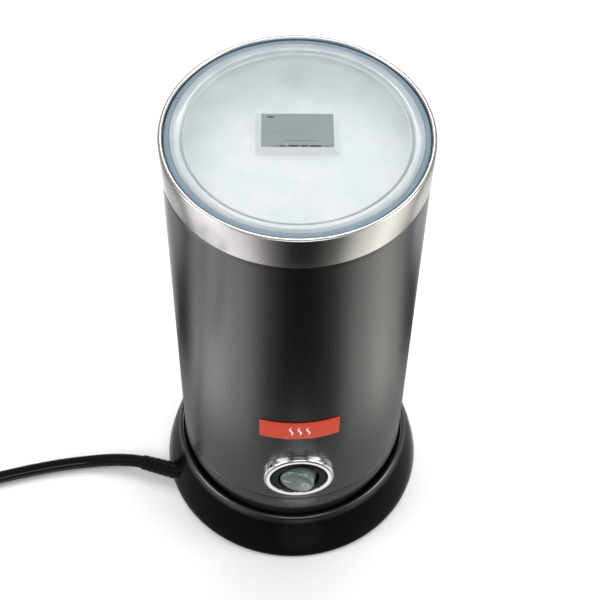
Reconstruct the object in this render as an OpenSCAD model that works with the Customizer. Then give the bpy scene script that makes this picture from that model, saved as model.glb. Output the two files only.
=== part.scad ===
// Electric milk frother: a heated jug with a magnetically driven whisk, standing on a
// cordless power base. +Z is up, the front (switch and badge) faces -Y, and the origin is
// the centre of the base on the surface that it stands on.

/* [Jug] */
// Outer diameter of the steel rim band
rim_d = 98; // [94:0.5:104]
// Height of the rim above the surface
rim_z = 216.5; // [205:0.5:230]
// Height of the steel rim band
band_h = 14.5; // [10:0.5:20]
// Height of the seam between the outer shell and the lower ring
seam_z = 38.7; // [37:0.1:42]
// Height of the lower edge of the jug's visible wall
jug_edge_z = 29.5; // [28:0.1:31]
// Wall of the outer shell
shell_wall = 1.8; // [1.2:0.1:2.4]

/* [Cup] */
// Inner diameter of the steel cup
cup_d = 83.2; // [82:0.1:84]
// Height of the cup's inner floor
cup_floor_z = 100; // [98:0.5:110]
// Sheet thickness of the cup
cup_wall = 0.9; // [0.6:0.1:1.2]

/* [Base] */
// Outer diameter of the base skirt
base_d = 115; // [112:0.5:125]
// Height of the base's crest
crest_z = 25.4; // [24:0.1:26]
// Height of the platform that the jug stands on
platform_z = 19; // [18:0.1:20]
// Height of the rubber feet below the base plate
foot_h = 1.2; // [0.8:0.1:1.6]

/* [Lid] */
// Width of the raised grip at its foot
grip_w = 29.4; // [24:0.2:36]
// Depth of the raised grip at its foot
grip_l = 19.8; // [16:0.2:24]
// Height of the raised grip above the lid
grip_h = 2.2; // [1.6:0.1:6]
// How far the lid is turned on the cup
lid_turn = -2.5; // [-180:0.5:180]

/* [Switch] */
// Height of the switch's centre
switch_z = 60.5; // [58:0.5:64]
// Outer diameter of the bright switch ring
ring_d = 29.4; // [28:0.2:32]
// Inner diameter of the bright switch ring
ring_inner_d = 24.2; // [23:0.2:25]
// How far the ring stands out from the shell
ring_proud = 2.25; // [1.5:0.05:3]
// Diameter of the round rocker
rocker_d = 14.4; // [13:0.1:15]
// Tilt of the rocker in each position
rocker_tilt = 16; // [10:0.5:16]

/* [Badge] */
// Width of the badge around the shell
badge_w = 32.6; // [20:0.2:40]
// Height of the badge
badge_h = 11.8; // [8:0.2:14]
// Height of the badge's centre
badge_z = 95.5; // [92:0.5:150]

/* [Cord] */
// Diameter of the mains cord
cord_d = 5.8; // [5:0.1:6.4]
// Mean radius of the stored coil
coil_r = 32; // [30:0.5:34]

/* [Hidden] */
$fn = 96;

steel = "silver";
black = [0.09, 0.09, 0.09];
brass = [0.78, 0.6, 0.3];

// Gap between neighbouring pieces of one body
gap = 0.1;
// Gap between pieces that move past each other
clear = 0.3;
// Overlap that joins two shapes of one solid
bite = 0.4;

// Jug
rim_r = rim_d / 2;
shell_r = rim_r - 0.35;
shell_in_r = shell_r - shell_wall;
band_z = rim_z - band_h;
cup_r = cup_d / 2;
cup_out_r = cup_r + cup_wall;
cup_under_z = cup_floor_z - cup_wall;
ledge_z = rim_z - 4.6;
gasket_h = 0.7;
flange_z = ledge_z + gasket_h + cup_wall;
lip_in_r = rim_r - 1.65;
post_r = 2.5;
post_top_z = cup_floor_z + 13;
jug_foot_z = platform_z + 0.2;
neck_r = shell_r - 2.65;
neck_wall = 2;
neck_top_z = jug_edge_z + 5.3;
spigot_h = 4.3;

// Inside the jug
chassis_z = cup_floor_z - 18;
chassis_t = 3;
boss_r = 3.5;
boss_at = 40.3;
pilot_r = 1.3;
screw_r = 1.25;
screw_clear_r = 1.7;
head_r = 2.8;
motor_r = 12;
motor_h = 27;
motor_top_z = chassis_z - gap;
motor_bottom_z = motor_top_z - motor_h;
shaft_r = 1;
bush_gap = 0.05;
board_z = 44;
board_t = 1.6;
carrier_r = 13.5;
carrier_top_z = cup_under_z - 1.3;
magnet_r = 3;
magnet_h = 3;
magnet_at = 9;

// Base
base_r = base_d / 2;
skirt_wall = 2.2;
lip_r = rim_r - 0.4;
crest_r = 1.3;
crest_w = 2.23;
recess_r = lip_r - 1.1;
plate_t = 2;
plate_z = foot_h;
plate_r = base_r - 3.4;
foot_r = 6;
foot_at = 43;
base_screw_at = 34;
socket_r = 13.2;
socket_top_z = platform_z + 8.5;
socket_foot_z = 7;
pin_r = 2.9;
blade_in_r = 8.1;
blade_out_r = 8.9;

// Switch: its axis runs along -Y through the shell
ring_r = ring_d / 2;
ring_in_r = ring_inner_d / 2;
ring_face = shell_r + ring_proud;
dish_face = ring_face - 0.2;
rocker_face = ring_face + 2.4;
pivot_at = rocker_face - 4.5;
pocket_r = rocker_d / 2 + 1.3;
switch_r = 10;
switch_back = 30;
switch_pin_r = 0.8;

// Cord: where it leaves the skirt, and its heading there measured from -X towards +Y
cord_r = cord_d / 2;
exit_at = [-54.5, -14, 6.2];
exit_turn = 19;
relief_in = 11.5;
relief_out = 16;
cord_in = 22;
clamp_in = 17;
clamp_h = 7.6;
heading = [-cos(exit_turn), sin(exit_turn), 0];
lead_route = [
    exit_at - cord_in * heading, exit_at - relief_in * heading, exit_at,
    exit_at + relief_out * heading,
    [-78, -6.9, 5.3], [-87, -5.9, 4], [-96, -5.9, 3.1], [-106, -6.8, 2.9],
    [-117, -8.5, 2.9], [-128, -10.7, 2.9], [-139, -13.2, 2.9], [-150, -15.9, 2.9],
    [-161, -18.7, 2.9], [-172, -21.5, 2.9], [-183, -24.4, 2.9]
];
coil_at = [-175, -58.5];
tail_route = [
    [-149.5, -38.9, 8.7], [-153.9, -32.6, 8.7], [-160, -24.6, 8.8], [-166.5, -16, 9.3],
    [-173, -7.4, 10.6], [-179.5, 1.2, 12.2], [-186, 9.8, 13]
];
plug_turn = 127;
plug_at = [-186, 9.8, 13];
blade_reach = 17;

// Points on a round stretch of an outline
function arc(x, y, r, from, to, steps = 8) =
    [for (i = [0:steps]) let (a = from + (to - from) * i / steps) [x + r * cos(a), y + r * sin(a)]];

function unit(v) = v / norm(v);

// Direction of a route at its point i
function along(route, i) =
    unit(route[min(i + 1, len(route) - 1)] - route[max(i - 1, 0)]);

// A tube of constant section swept along a route. up must not be parallel to the route.
module tube(route, d, sides = 10, up = [0, 0, 1]) {
    rings = len(route);
    points = [
        for (i = [0:rings - 1])
            let (t = along(route, i), side = unit(cross(t, up)), top = cross(side, t))
                for (k = [0:sides - 1])
                    route[i] + d / 2 * (cos(360 * k / sides) * side + sin(360 * k / sides) * top)
    ];
    walls = [
        for (i = [0:rings - 2])
            for (k = [0:sides - 1])
                let (a = i * sides + k, b = i * sides + (k + 1) % sides)
                    [a, b, b + sides, a + sides]
    ];
    near_end = [for (k = [sides - 1:-1:0]) k];
    far_end = [for (k = [0:sides - 1]) (rings - 1) * sides + k];
    polyhedron(points, concat([near_end], walls, [far_end]), convexity = 8);
}

module ring(inner, outer, from, to) {
    translate([0, 0, from])
        difference() {
            cylinder(r = outer, h = to - from);
            translate([0, 0, -1])
                cylinder(r = inner, h = to - from + 2);
        }
}

module around(count, radius, start = 0) {
    for (i = [0:count - 1])
        rotate([0, 0, start + 360 * i / count])
            translate([radius, 0, 0])
                children();
}

// A cross-head screw that points up, the underside of its head at z = 0
module screw_up(shank, head = head_r, shank_r = screw_r, head_t = 1) {
    cylinder(r = shank_r, h = shank);
    difference() {
        translate([0, 0, -head_t])
            cylinder(r = head, h = head_t);
        translate([0, 0, -head_t - 1])
            for (turn = [0, 90])
                rotate([0, 0, turn])
                    translate([-head * 0.6, -0.4, 0])
                        cube([head * 1.2, 0.8, 1.6]);
    }
}

// A shape drawn along +Z is laid along the switch's axis, its z = 0 at the jug's axis
module switch_frame() {
    translate([0, 0, switch_z])
        rotate([90, 0, 0])
            children();
}

// Base ---------------------------------------------------------------------------------

// Outside radius of the flared skirt at a height, a shallow outward bow
function skirt_r(z) =
    let (foot = foot_h + 0.6, t = (z - foot) / (crest_z - foot))
        base_r - (base_r - lip_r - crest_w) * t + 1.6 * t * (1 - t);

// Notch in the base plate's edge that the strain relief sits in
module relief_notch() {
    translate([exit_at[0], exit_at[1], plate_z - 1])
        rotate([0, 0, -exit_turn])
            translate([-6, -5.2, 0])
                cube([relief_in + 6.6, 10.4, 6]);
}

module base_cover() {
    low = foot_h;
    shoulder = crest_z - crest_r;
    steps = 12;
    outside = [for (i = [0:steps])
        let (z = low + 0.6 + (shoulder - low - 0.6) * i / steps) [skirt_r(z), z]];
    crest_x = lip_r + crest_r;
    ceiling_z = platform_z - 2;
    hollow_r = recess_r + 1.8;
    hollow_z = platform_z + 0.5;
    color(black)
        difference() {
            union() {
                rotate_extrude()
                    polygon(concat(
                        [[base_r - skirt_wall, low], [base_r - 0.6, low]],
                        outside,
                        arc(crest_x, shoulder, crest_r, 20, 165, 8),
                        [[recess_r, shoulder - 1.6], [recess_r, platform_z],
                         [socket_r + 0.5, platform_z], [socket_r + 0.5, ceiling_z],
                         [hollow_r, ceiling_z], [hollow_r, hollow_z],
                         [skirt_r(hollow_z) - skirt_wall, hollow_z],
                         [skirt_r(10) - skirt_wall, 10]]
                    ));
                around(3, base_screw_at, 30)
                    translate([0, 0, plate_z + plate_t + gap])
                        cylinder(r = 4, h = ceiling_z - plate_z - plate_t - gap + bite);
            }
            around(3, base_screw_at, 30)
                cylinder(r = pilot_r, h = 13);
            translate(exit_at - 20 * heading)
                rotate([0, 0, -exit_turn])
                    rotate([0, -90, 0])
                        cylinder(r = 4.2, h = 40);
        }
}

module base_plate() {
    color(black)
        difference() {
            union() {
                translate([0, 0, plate_z])
                    cylinder(r = plate_r, h = plate_t);
                ring(plate_r - 1.6, plate_r, plate_z, plate_z + plate_t + 1.2);
            }
            around(4, foot_at, 45)
                translate([0, 0, plate_z - 1])
                    cylinder(r = foot_r + gap, h = 1.8);
            around(3, base_screw_at, 30) {
                cylinder(r = screw_clear_r, h = 10);
                translate([0, 0, plate_z - 1])
                    cylinder(r = head_r + 0.5, h = 2.1);
            }
            relief_notch();
            clamp_frame()
                for (side = [-1, 1])
                    translate([0, side * 6.2, -10])
                        cylinder(r = pilot_r, h = 12);
        }
}

module rubber_feet() {
    color("dimgray")
        around(4, foot_at, 45)
            cylinder(r = foot_r, h = foot_h + 0.7);
}

module base_screws() {
    color(steel)
        around(3, base_screw_at, 30)
            translate([0, 0, plate_z + 1.1])
                screw_up(9);
}

module socket_housing() {
    color("whitesmoke")
        difference() {
            union() {
                translate([0, 0, socket_foot_z])
                    cylinder(r = socket_r, h = socket_top_z - socket_foot_z);
                translate([0, 0, socket_foot_z])
                    cylinder(r = socket_r + 5, h = 2.2);
                ring(socket_r - 1, socket_r + 2.6, platform_z - 4.4, platform_z - 2 - gap);
            }
            translate([0, 0, socket_top_z - 12])
                cylinder(r = pin_r + clear, h = 13);
            ring(blade_in_r - 0.5, blade_out_r + 0.5, socket_top_z - 9, socket_top_z + 1);
        }
}

module socket_contacts() {
    color(brass)
        for (turn = [0:120:240])
            rotate([0, 0, turn + 60])
                translate([2, -1.5, plate_z + plate_t + 0.4]) {
                    cube([13, 3, 0.6]);
                    translate([3, 0, 0])
                        cube([0.6, 3, socket_foot_z - plate_z - plate_t - 0.5]);
                }
}

// The cord's anchor: a saddle over the cord, screwed down on each side
module clamp_frame() {
    middle = exit_at - clamp_in * heading;
    translate([middle[0], middle[1], plate_z + plate_t + gap])
        rotate([0, 0, -exit_turn])
            children();
}

module cord_clamp() {
    color("gainsboro")
        clamp_frame()
            difference() {
                translate([-3, -9, 0])
                    cube([6, 18, clamp_h]);
                translate([0, 0, exit_at[2] - plate_z - plate_t - gap])
                    rotate([0, 90, 0])
                        cylinder(r = cord_r + 0.02, h = 20, center = true);
                for (side = [-1, 1])
                    translate([0, side * 6.2, -1])
                        cylinder(r = screw_clear_r, h = 20);
            }
}

module clamp_screws() {
    color(steel)
        clamp_frame()
            for (side = [-1, 1])
                translate([0, side * 6.2, clamp_h + gap])
                    mirror([0, 0, 1])
                        screw_up(9, 2.2);
}

module base_leads() {
    start = exit_at - (cord_in + 1.2) * heading;
    for (i = [0:2])
        color(["saddlebrown", "royalblue", "yellowgreen"][i])
            tube([start + [0, 1.8 * (i - 1), 0], start + [3, 2.6 * (i - 1) + 0.8, 0.3],
                  [-25, -18.5 + 5 * i, 6.8], [-20.5, -13.5 + 6.5 * i, 7.6]], 1.4, 8);
}

module strain_relief() {
    color(black)
        translate(exit_at)
            rotate([0, 0, -exit_turn])
                rotate([0, -90, 0])
                    difference() {
                        union() {
                            translate([0, 0, -relief_in])
                                cylinder(r = 4.6, h = 4.4);
                            translate([0, 0, -relief_in + 4])
                                cylinder(r = 3.9, h = relief_in - 2.5);
                            translate([0, 0, 1])
                                cylinder(r1 = 3.9, r2 = 3.35, h = relief_out - 1);
                        }
                        translate([0, 0, -20])
                            cylinder(r = cord_r + 0.02, h = 50);
                    }
}

module cord_lead() {
    color(black)
        tube(lead_route, cord_d);
}

module cord_coil() {
    color(black)
        translate([coil_at[0], coil_at[1], 0])
            rotate_extrude()
                polygon([
                    [coil_r - 6, 0.3], [coil_r + 6, 0.3], [coil_r + 6, cord_d - 0.3],
                    [coil_r + 3, cord_d + 0.6], [coil_r + 2.4, 2 * cord_d - 0.3],
                    [coil_r - 2.4, 2 * cord_d - 0.3], [coil_r - 3, cord_d + 0.6],
                    [coil_r - 6, cord_d - 0.3]
                ]);
}

module cord_tail() {
    color(black)
        tube(tail_route, cord_d);
}

module plug_frame() {
    translate(plug_at)
        rotate([0, 0, plug_turn])
            children();
}

module plug_body() {
    color(black)
        plug_frame()
            union() {
                translate([0.2, 0, 0])
                    rotate([0, 90, 0])
                        cylinder(r1 = 3.5, r2 = 6, h = 20);
                hull() {
                    translate([19, 0, 0])
                        rotate([0, 90, 0])
                            cylinder(r = 8, h = 1, $fn = 32);
                    translate([26, -12.5, -12.5])
                        cube([14, 25, 21]);
                    translate([26, -7, 8])
                        cube([14, 14, 4.5]);
                }
            }
}

module plug_blades() {
    color(brass)
        plug_frame() {
            for (side = [-1, 1])
                translate([40, side * 6.35 - 0.75, -9.5])
                    cube([blade_reach, 1.5, 6.3]);
            translate([40, 0, 5.4])
                rotate([0, 90, 0])
                    cylinder(r = 2.4, h = blade_reach + 2);
        }
}

// Jug ----------------------------------------------------------------------------------

module outer_shell() {
    color(black)
        difference() {
            union() {
                ring(shell_in_r, shell_r, seam_z + 0.2, band_z - 0.2);
                ring(shell_in_r - 1.5, shell_in_r + bite, chassis_z + chassis_t + gap,
                     chassis_z + chassis_t + 2);
            }
            switch_frame()
                translate([0, 0, 30])
                    cylinder(r = ring_in_r + 0.6, h = 30);
        }
}

module steel_band() {
    shelf_r = lip_in_r - 1.4;
    spigot_r = shell_in_r - 0.2;
    color(steel)
        rotate_extrude()
            polygon(concat(
                [[spigot_r - 1, band_z - 5], [spigot_r, band_z - 5], [spigot_r, band_z],
                 [rim_r, band_z]],
                arc(rim_r - 0.6, rim_z - 0.6, 0.6, 0, 90, 4),
                [[lip_in_r + 0.4, rim_z], [lip_in_r, rim_z - 0.4], [lip_in_r, ledge_z],
                 [shelf_r, ledge_z], [shelf_r, ledge_z - 1.4], [lip_in_r, ledge_z - 3],
                 [lip_in_r, band_z + 1.4], [spigot_r - 1, band_z + 0.4]]
            ));
}

module rim_gasket() {
    color("lightgray")
        ring(cup_out_r + 1.2, lip_in_r - gap, ledge_z, ledge_z + gasket_h);
}

module inner_cup() {
    corner = 8;
    flange_r = lip_in_r - gap;
    turn_r = 1.2;
    color(steel)
        union() {
            rotate_extrude()
                polygon(concat(
                    [[0, cup_under_z]],
                    arc(cup_out_r - corner - cup_wall, cup_under_z + corner + cup_wall,
                        corner + cup_wall, -90, 0, 10),
                    [[cup_out_r, flange_z - cup_wall], [flange_r, flange_z - cup_wall],
                     [flange_r, flange_z]],
                    arc(cup_r + turn_r, flange_z - turn_r, turn_r, 90, 180, 4),
                    arc(cup_r - corner, cup_floor_z + corner, corner, 0, -90, 10),
                    [[0, cup_floor_z]]
                ));
            translate([0, 0, cup_floor_z - bite])
                cylinder(r = post_r, h = post_top_z - cup_floor_z - 1 + bite);
            translate([0, 0, post_top_z - 1])
                cylinder(r1 = post_r, r2 = post_r - 1, h = 1);
            translate([0, 0, cup_floor_z - bite])
                cylinder(r = 5, h = bite + 1.2);
        }
}

module lower_ring() {
    edge = 1.2;
    spigot_r = shell_in_r - 0.15;
    color(black)
        rotate_extrude()
            polygon(concat(
                [[neck_r + 0.2, jug_edge_z], [shell_r - edge, jug_edge_z]],
                arc(shell_r - edge, jug_edge_z + edge, edge, -75, 0, 5),
                [[shell_r, seam_z - 0.2], [spigot_r, seam_z - 0.2],
                 [spigot_r, seam_z + spigot_h], [spigot_r - 1.8, seam_z + spigot_h],
                 [spigot_r - 1.8, neck_top_z + gap], [neck_r + 0.2, neck_top_z + gap]]
            ));
}

module jug_bottom() {
    color(black)
        difference() {
            union() {
                rotate_extrude()
                    polygon([
                        [14.6, jug_foot_z], [neck_r - 1, jug_foot_z], [neck_r, jug_foot_z + 1],
                        [neck_r, neck_top_z], [neck_r - neck_wall, neck_top_z],
                        [neck_r - neck_wall, jug_foot_z + 2.4], [17.2, jug_foot_z + 2.4],
                        [17.2, jug_foot_z + 5], [14.6, jug_foot_z + 5]
                    ]);
                around(3, 30, 60)
                    translate([0, 0, jug_foot_z + 2])
                        cylinder(r = 3, h = board_z - jug_foot_z - 2);
            }
            around(3, 30, 60)
                translate([0, 0, board_z - 10])
                    cylinder(r = pilot_r, h = 12);
            around(4, boss_at, 45) {
                cylinder(r = screw_clear_r, h = 40);
                translate([0, 0, jug_foot_z - 1])
                    cylinder(r = head_r + 0.2, h = 2.2);
            }
        }
}

module bottom_screws() {
    color(steel)
        around(4, boss_at, 45)
            translate([0, 0, jug_foot_z + 1.2])
                screw_up(12);
}

module connector_half() {
    ceiling_z = socket_top_z + 0.7;
    color("whitesmoke")
        difference() {
            union() {
                ring(socket_r + 0.5, 14.5, jug_foot_z + 0.2, ceiling_z + 1);
                ring(14, 17, jug_foot_z + 5.1, ceiling_z + 1);
                translate([0, 0, ceiling_z])
                    cylinder(r = 14.5, h = 3);
            }
            translate([0, 0, ceiling_z - 1])
                cylinder(r = pin_r, h = 8);
            ring(blade_in_r, blade_out_r, ceiling_z - 1, ceiling_z + 2);
            translate([0, blade_in_r + 0.4, ceiling_z])
                cylinder(r = 0.7, h = 8);
        }
}

module connector_contacts() {
    ceiling_z = socket_top_z + 0.7;
    color(brass) {
        translate([0, 0, ceiling_z - 9])
            cylinder(r = pin_r, h = 17);
        ring(blade_in_r, blade_out_r, ceiling_z - 6.5, ceiling_z + 2);
        translate([0, blade_in_r + 0.4, ceiling_z + 2 - bite])
            cylinder(r = 0.7, h = 4);
    }
}

module heater_plate() {
    color("lightgray")
        difference() {
            ring(16, 36, cup_under_z - 2.6, cup_under_z - gap);
            around(3, 33, 75)
                translate([0, 0, cup_under_z - 5])
                    cylinder(r = 1.2, h = 10);
        }
}

module heater_element() {
    tube_r = 3;
    at_r = 30;
    low = cup_under_z - 2.7 - tube_r;
    color("darkgray") {
        translate([0, 0, low])
            rotate([0, 0, 105])
                rotate_extrude(angle = 330)
                    translate([at_r, 0])
                        circle(r = tube_r, $fn = 32);
        for (turn = [105, 75])
            rotate([0, 0, turn])
                translate([at_r, 0, low - 6])
                    cylinder(r = 1, h = 6);
    }
}

module thermostat() {
    color("ivory")
        rotate([0, 0, 150])
            translate([21, 0, cup_under_z - 11]) {
                cylinder(r = 4.6, h = 8.3);
                for (side = [-1, 1])
                    translate([side * 2.5 - 1.5, -0.3, -2.2])
                        cube([3, 0.6, 2.2 + bite]);
            }
}

module thermal_fuse() {
    color("gainsboro")
        rotate([0, 0, 240])
            translate([21, 0, cup_under_z - 4.8])
                rotate([90, 0, 0]) {
                    cylinder(r = 2, h = 11, center = true);
                    cylinder(r = 0.5, h = 22, center = true);
                }
}

module chassis() {
    color("gray")
        difference() {
            union() {
                translate([0, 0, chassis_z])
                    cylinder(r = shell_in_r - 0.3, h = chassis_t);
                around(4, boss_at, 45)
                    translate([0, 0, jug_foot_z + 2.5])
                        cylinder(r = boss_r, h = chassis_z - jug_foot_z - 2.5 + bite);
            }
            translate([0, 0, chassis_z - 1])
                cylinder(r = 5.2, h = chassis_t + 2);
            around(2, 8.5)
                translate([0, 0, chassis_z - 1])
                    cylinder(r = 1.3, h = chassis_t + 2);
            around(4, boss_at, 45)
                translate([0, 0, jug_foot_z])
                    cylinder(r = pilot_r, h = 20);
            // Windows that the heater's leads pass through
            for (turn = [75, 105])
                rotate([0, 0, turn])
                    translate([30, 0, chassis_z - 1])
                        cylinder(r = 3.4, h = chassis_t + 2);
        }
}

module motor_can() {
    color(steel)
        difference() {
            union() {
                translate([0, 0, motor_bottom_z])
                    cylinder(r = motor_r, h = motor_h);
                translate([0, 0, motor_top_z - bite])
                    cylinder(r = 5, h = 2 + bite);
            }
            translate([0, 0, motor_bottom_z - 1])
                cylinder(r = motor_r - 0.8, h = motor_h - 0.2);
            translate([0, 0, motor_top_z - 3])
                cylinder(r = 3, h = 10);
            around(2, 8.5)
                translate([0, 0, motor_top_z - 3])
                    cylinder(r = 0.9, h = 10);
        }
}

module motor_cap() {
    color("ivory")
        difference() {
            union() {
                translate([0, 0, motor_bottom_z])
                    cylinder(r = motor_r - 0.9, h = 2.6);
                for (side = [-1, 1])
                    translate([side * 7 - 1.4, -0.25, motor_bottom_z - 3])
                        cube([2.8, 0.5, 3 + bite]);
            }
            translate([0, 0, motor_bottom_z - 1])
                cylinder(r = 3, h = 8);
        }
}

module motor_bushes() {
    color(brass) {
        ring(shaft_r + bush_gap, 3, motor_top_z - 1.2, motor_top_z + 1.9);
        ring(shaft_r + bush_gap, 3, motor_bottom_z + 0.2, motor_bottom_z + 2.4);
    }
}

module field_magnets() {
    color("dimgray")
        difference() {
            ring(motor_r - 2.4, motor_r - 0.85, motor_bottom_z + 4, motor_top_z - 3);
            translate([-motor_r, -1.5, motor_bottom_z])
                cube([2 * motor_r, 3, motor_h]);
        }
}

module motor_screws() {
    color(steel)
        around(2, 8.5)
            translate([0, 0, chassis_z + chassis_t + gap])
                mirror([0, 0, 1])
                    screw_up(3.9, 1.9, 0.85);
}

module circuit_board() {
    color("darkgreen")
        difference() {
            translate([0, 0, board_z])
                cylinder(r = 36, h = board_t);
            translate([0, 0, board_z - 1])
                cylinder(r = 6, h = board_t + 2);
            around(3, 30, 60)
                translate([0, 0, board_z - 1])
                    cylinder(r = 1.5, h = board_t + 2);
        }
}

module board_parts() {
    top = board_z + board_t;
    color("royalblue")
        translate([10, 10, top])
            cube([14, 11, 6.5]);
    color("darkslategray")
        translate([-24, 6, top])
            cylinder(r = 4, h = 6.8);
    color("goldenrod")
        translate([-26, -14, top])
            cube([11, 5, 6.5]);
    color([0.15, 0.15, 0.15])
        translate([-8, -24, top])
            cube([16, 8, 2.2]);
    color("ivory")
        for (i = [0:2])
            translate([16, -22 + 7 * i, top])
                cube([8, 6, 6]);
}

module board_screws() {
    color(steel)
        around(3, 30, 60)
            translate([0, 0, board_z + board_t + gap])
                mirror([0, 0, 1])
                    screw_up(8, 2.4);
}

module wiring() {
    across = [1, 0.05, 0.1];
    // Mains leads from the connector up to the heater
    color("saddlebrown")
        tube([[0, 0, 37.2], [0.2, 3, 39.8], [1, 12, 41], [2, 24, 41], [2.3, 36, 41.4],
              [2.6, 39.3, 46], [3, 39.6, 60], [6, 38, 72], [7.8, 32, 79], [7.8, 29.2, 82],
              [7.8, 29, 86.4]], 1.5, 8, across);
    color("royalblue")
        tube([[-0.6, 8.6, 35.6], [-2, 10, 38.4], [-4, 16, 41], [-5, 26, 41], [-5.3, 36, 41.4],
              [-5.6, 39, 46], [-6, 39.2, 60], [-7, 38, 72], [-7.8, 32, 79], [-7.8, 29.2, 82],
              [-7.8, 29, 86.4]], 1.5, 8, across);
    // Signal leads from the switch down to the board
    color("dimgray")
        tube([[0, -22.1, switch_z + 4.5], [5, -18.6, 69], [12, -17.6, 62], [18.4, -18.4, 55.6],
              [20, -19, 52.6]], 1.5, 8, [0.1, 1, 0.05]);
    color("white")
        tube([[0, -22.1, switch_z - 4.5], [-5, -18.6, 60.4], [-13, -17.4, 58],
              [-19.6, -12.6, 55.6], [-20.5, -11.6, 53]], 1.5, 8, [0.1, 1, 0.05]);
}

module switch_ring() {
    roll = 1.1;
    color(steel)
        difference() {
            switch_frame()
                rotate_extrude()
                    polygon(concat(
                        [[ring_in_r, 40.5], [ring_in_r + 0.5, 40.5], [ring_in_r + 0.5, 47],
                         [ring_r, 42], [ring_r, ring_face - roll]],
                        arc(ring_r - roll, ring_face - roll, roll, 0, 90, 5),
                        [[ring_in_r + 0.9, ring_face], [ring_in_r, ring_face - 0.9]]
                    ));
            difference() {
                cylinder(r = shell_r + 0.02, h = 200);
                switch_frame()
                    cylinder(r = ring_in_r + 0.5, h = 60);
            }
        }
}

module switch_dish() {
    color(black)
        switch_frame()
            rotate_extrude()
                polygon([
                    [ring_in_r - gap, 43], [ring_in_r - gap, dish_face],
                    [pocket_r + 0.4, dish_face], [pocket_r, dish_face - 0.4], [pocket_r, 43]
                ]);
}

module switch_body() {
    color([0.12, 0.12, 0.12])
        switch_frame()
            difference() {
                union() {
                    translate([0, 0, switch_back])
                        cylinder(r = switch_r, h = 43 - gap - switch_back);
                    translate([0, 0, 41])
                        ring(pocket_r, pocket_r + 0.6, 0, 1.9);
                }
                translate([0, 0, switch_back + 4])
                    cylinder(r = pocket_r - 0.2, h = 20);
            }
}

module switch_terminals() {
    color(brass)
        switch_frame()
            for (side = [-1, 1])
                translate([-3.1, side * 4.5 - 0.4, switch_back - 7])
                    cube([6.2, 0.8, 7 - gap]);
}

// The pin is held between two cheeks of the switch dish, upright through the rocker
module rocker_pin() {
    color(steel)
        translate([0, -pivot_at, switch_z - pocket_r + 0.1])
            cylinder(r = switch_pin_r, h = 2 * pocket_r - 0.2);
}

// Drawn level, then tipped about the upright pin so that its right half stands out
module rocker() {
    reach = sqrt(pow(rocker_d / 2, 2) + pow(rocker_face - pivot_at, 2));
    color([0.62, 0.68, 0.66])
        translate([0, -pivot_at, 0])
            rotate([0, 0, -rocker_tilt])
                translate([0, pivot_at, 0])
                    difference() {
                        intersection() {
                            switch_frame()
                                translate([0, 0, pivot_at - 3])
                                    cylinder(r = rocker_d / 2, h = rocker_face - pivot_at + 3);
                            translate([0, -pivot_at, 0])
                                cylinder(r = reach, h = 120);
                        }
                        translate([0, -pivot_at, 0])
                            cylinder(r = switch_pin_r + bush_gap, h = 120);
                    }
}

module front_badge() {
    half = badge_w / 2 / shell_r * 180 / PI;
    color([0.75, 0.25, 0.17])
        translate([0, 0, badge_z - badge_h / 2])
            rotate([0, 0, -90 - half])
                rotate_extrude(angle = 2 * half)
                    translate([shell_r + 0.02, 0])
                        square([0.45, badge_h]);
}

// Motor and magnet drive ---------------------------------------------------------------

module motor_shaft() {
    color(steel)
        translate([0, 0, motor_bottom_z - 1])
            cylinder(r = shaft_r, h = carrier_top_z - 1 - motor_bottom_z + 1);
}

module armature() {
    low = motor_bottom_z + 6;
    high = motor_top_z - 5;
    color("peru")
        difference() {
            union() {
                ring(shaft_r, 8.8, low, high);
                ring(shaft_r, 3.4, low - 2.6, high + 1);
            }
            around(3, 8.2, 30)
                translate([0, 0, low - 1])
                    cylinder(r = 2.2, h = high - low + 2);
        }
}

module magnet_carrier() {
    low = carrier_top_z - 5;
    color("white")
        difference() {
            union() {
                translate([0, 0, low])
                    cylinder(r = carrier_r, h = 5);
                translate([0, 0, low - 4])
                    cylinder(r = 3.5, h = 4 + bite);
            }
            translate([0, 0, low - 5])
                cylinder(r = shaft_r, h = 9);
            around(4, magnet_at)
                translate([0, 0, carrier_top_z - magnet_h])
                    cylinder(r = magnet_r, h = magnet_h + 1);
        }
}

module drive_magnets() {
    color("dimgray")
        around(4, magnet_at)
            translate([0, 0, carrier_top_z - magnet_h])
                cylinder(r = magnet_r, h = magnet_h - gap);
}

// Whisk --------------------------------------------------------------------------------

whisk_z = cup_floor_z + 1.6;
whisk_h = 7;
whisk_r = 17;

module whisk_hub() {
    color([0.12, 0.12, 0.12])
        difference() {
            union() {
                translate([0, 0, whisk_z])
                    cylinder(r = 5.2, h = 13);
                translate([0, 0, whisk_z])
                    cylinder(r = 13, h = 4.4);
                ring(whisk_r - 1.6, whisk_r, whisk_z + 0.4, whisk_z + 3.2);
                for (turn = [0:60:300])
                    rotate([0, 0, turn])
                        translate([12, -1, whisk_z + 0.4])
                            cube([4, 2, 2.8]);
            }
            translate([0, 0, whisk_z - 1])
                cylinder(r = post_r + 0.06, h = post_top_z - whisk_z + 1.4);
            around(4, magnet_at)
                translate([0, 0, whisk_z + 0.8])
                    cylinder(r = magnet_r, h = magnet_h);
        }
}

// The frothing spring: a close coil bent round into a ring, as its outer shape
module whisk_coil() {
    color(steel)
        translate([0, 0, whisk_z + 6.2])
            rotate_extrude()
                translate([whisk_r - 0.8, 0])
                    circle(r = 2.9, $fn = 32);
}

module whisk_magnets() {
    color("dimgray")
        around(4, magnet_at)
            translate([0, 0, whisk_z + 0.85])
                cylinder(r = magnet_r - 0.05, h = magnet_h - 0.1);
}

// Lid ----------------------------------------------------------------------------------

lid_r = lip_in_r - 2.35;
lid_top_z = rim_z - 0.5;
plate_top_z = rim_z - 1.3;
lid_t = 2.2;
step_r = cup_r;
skirt_out_r = cup_r - 0.4;
skirt_low_z = rim_z - 8.3;

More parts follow.
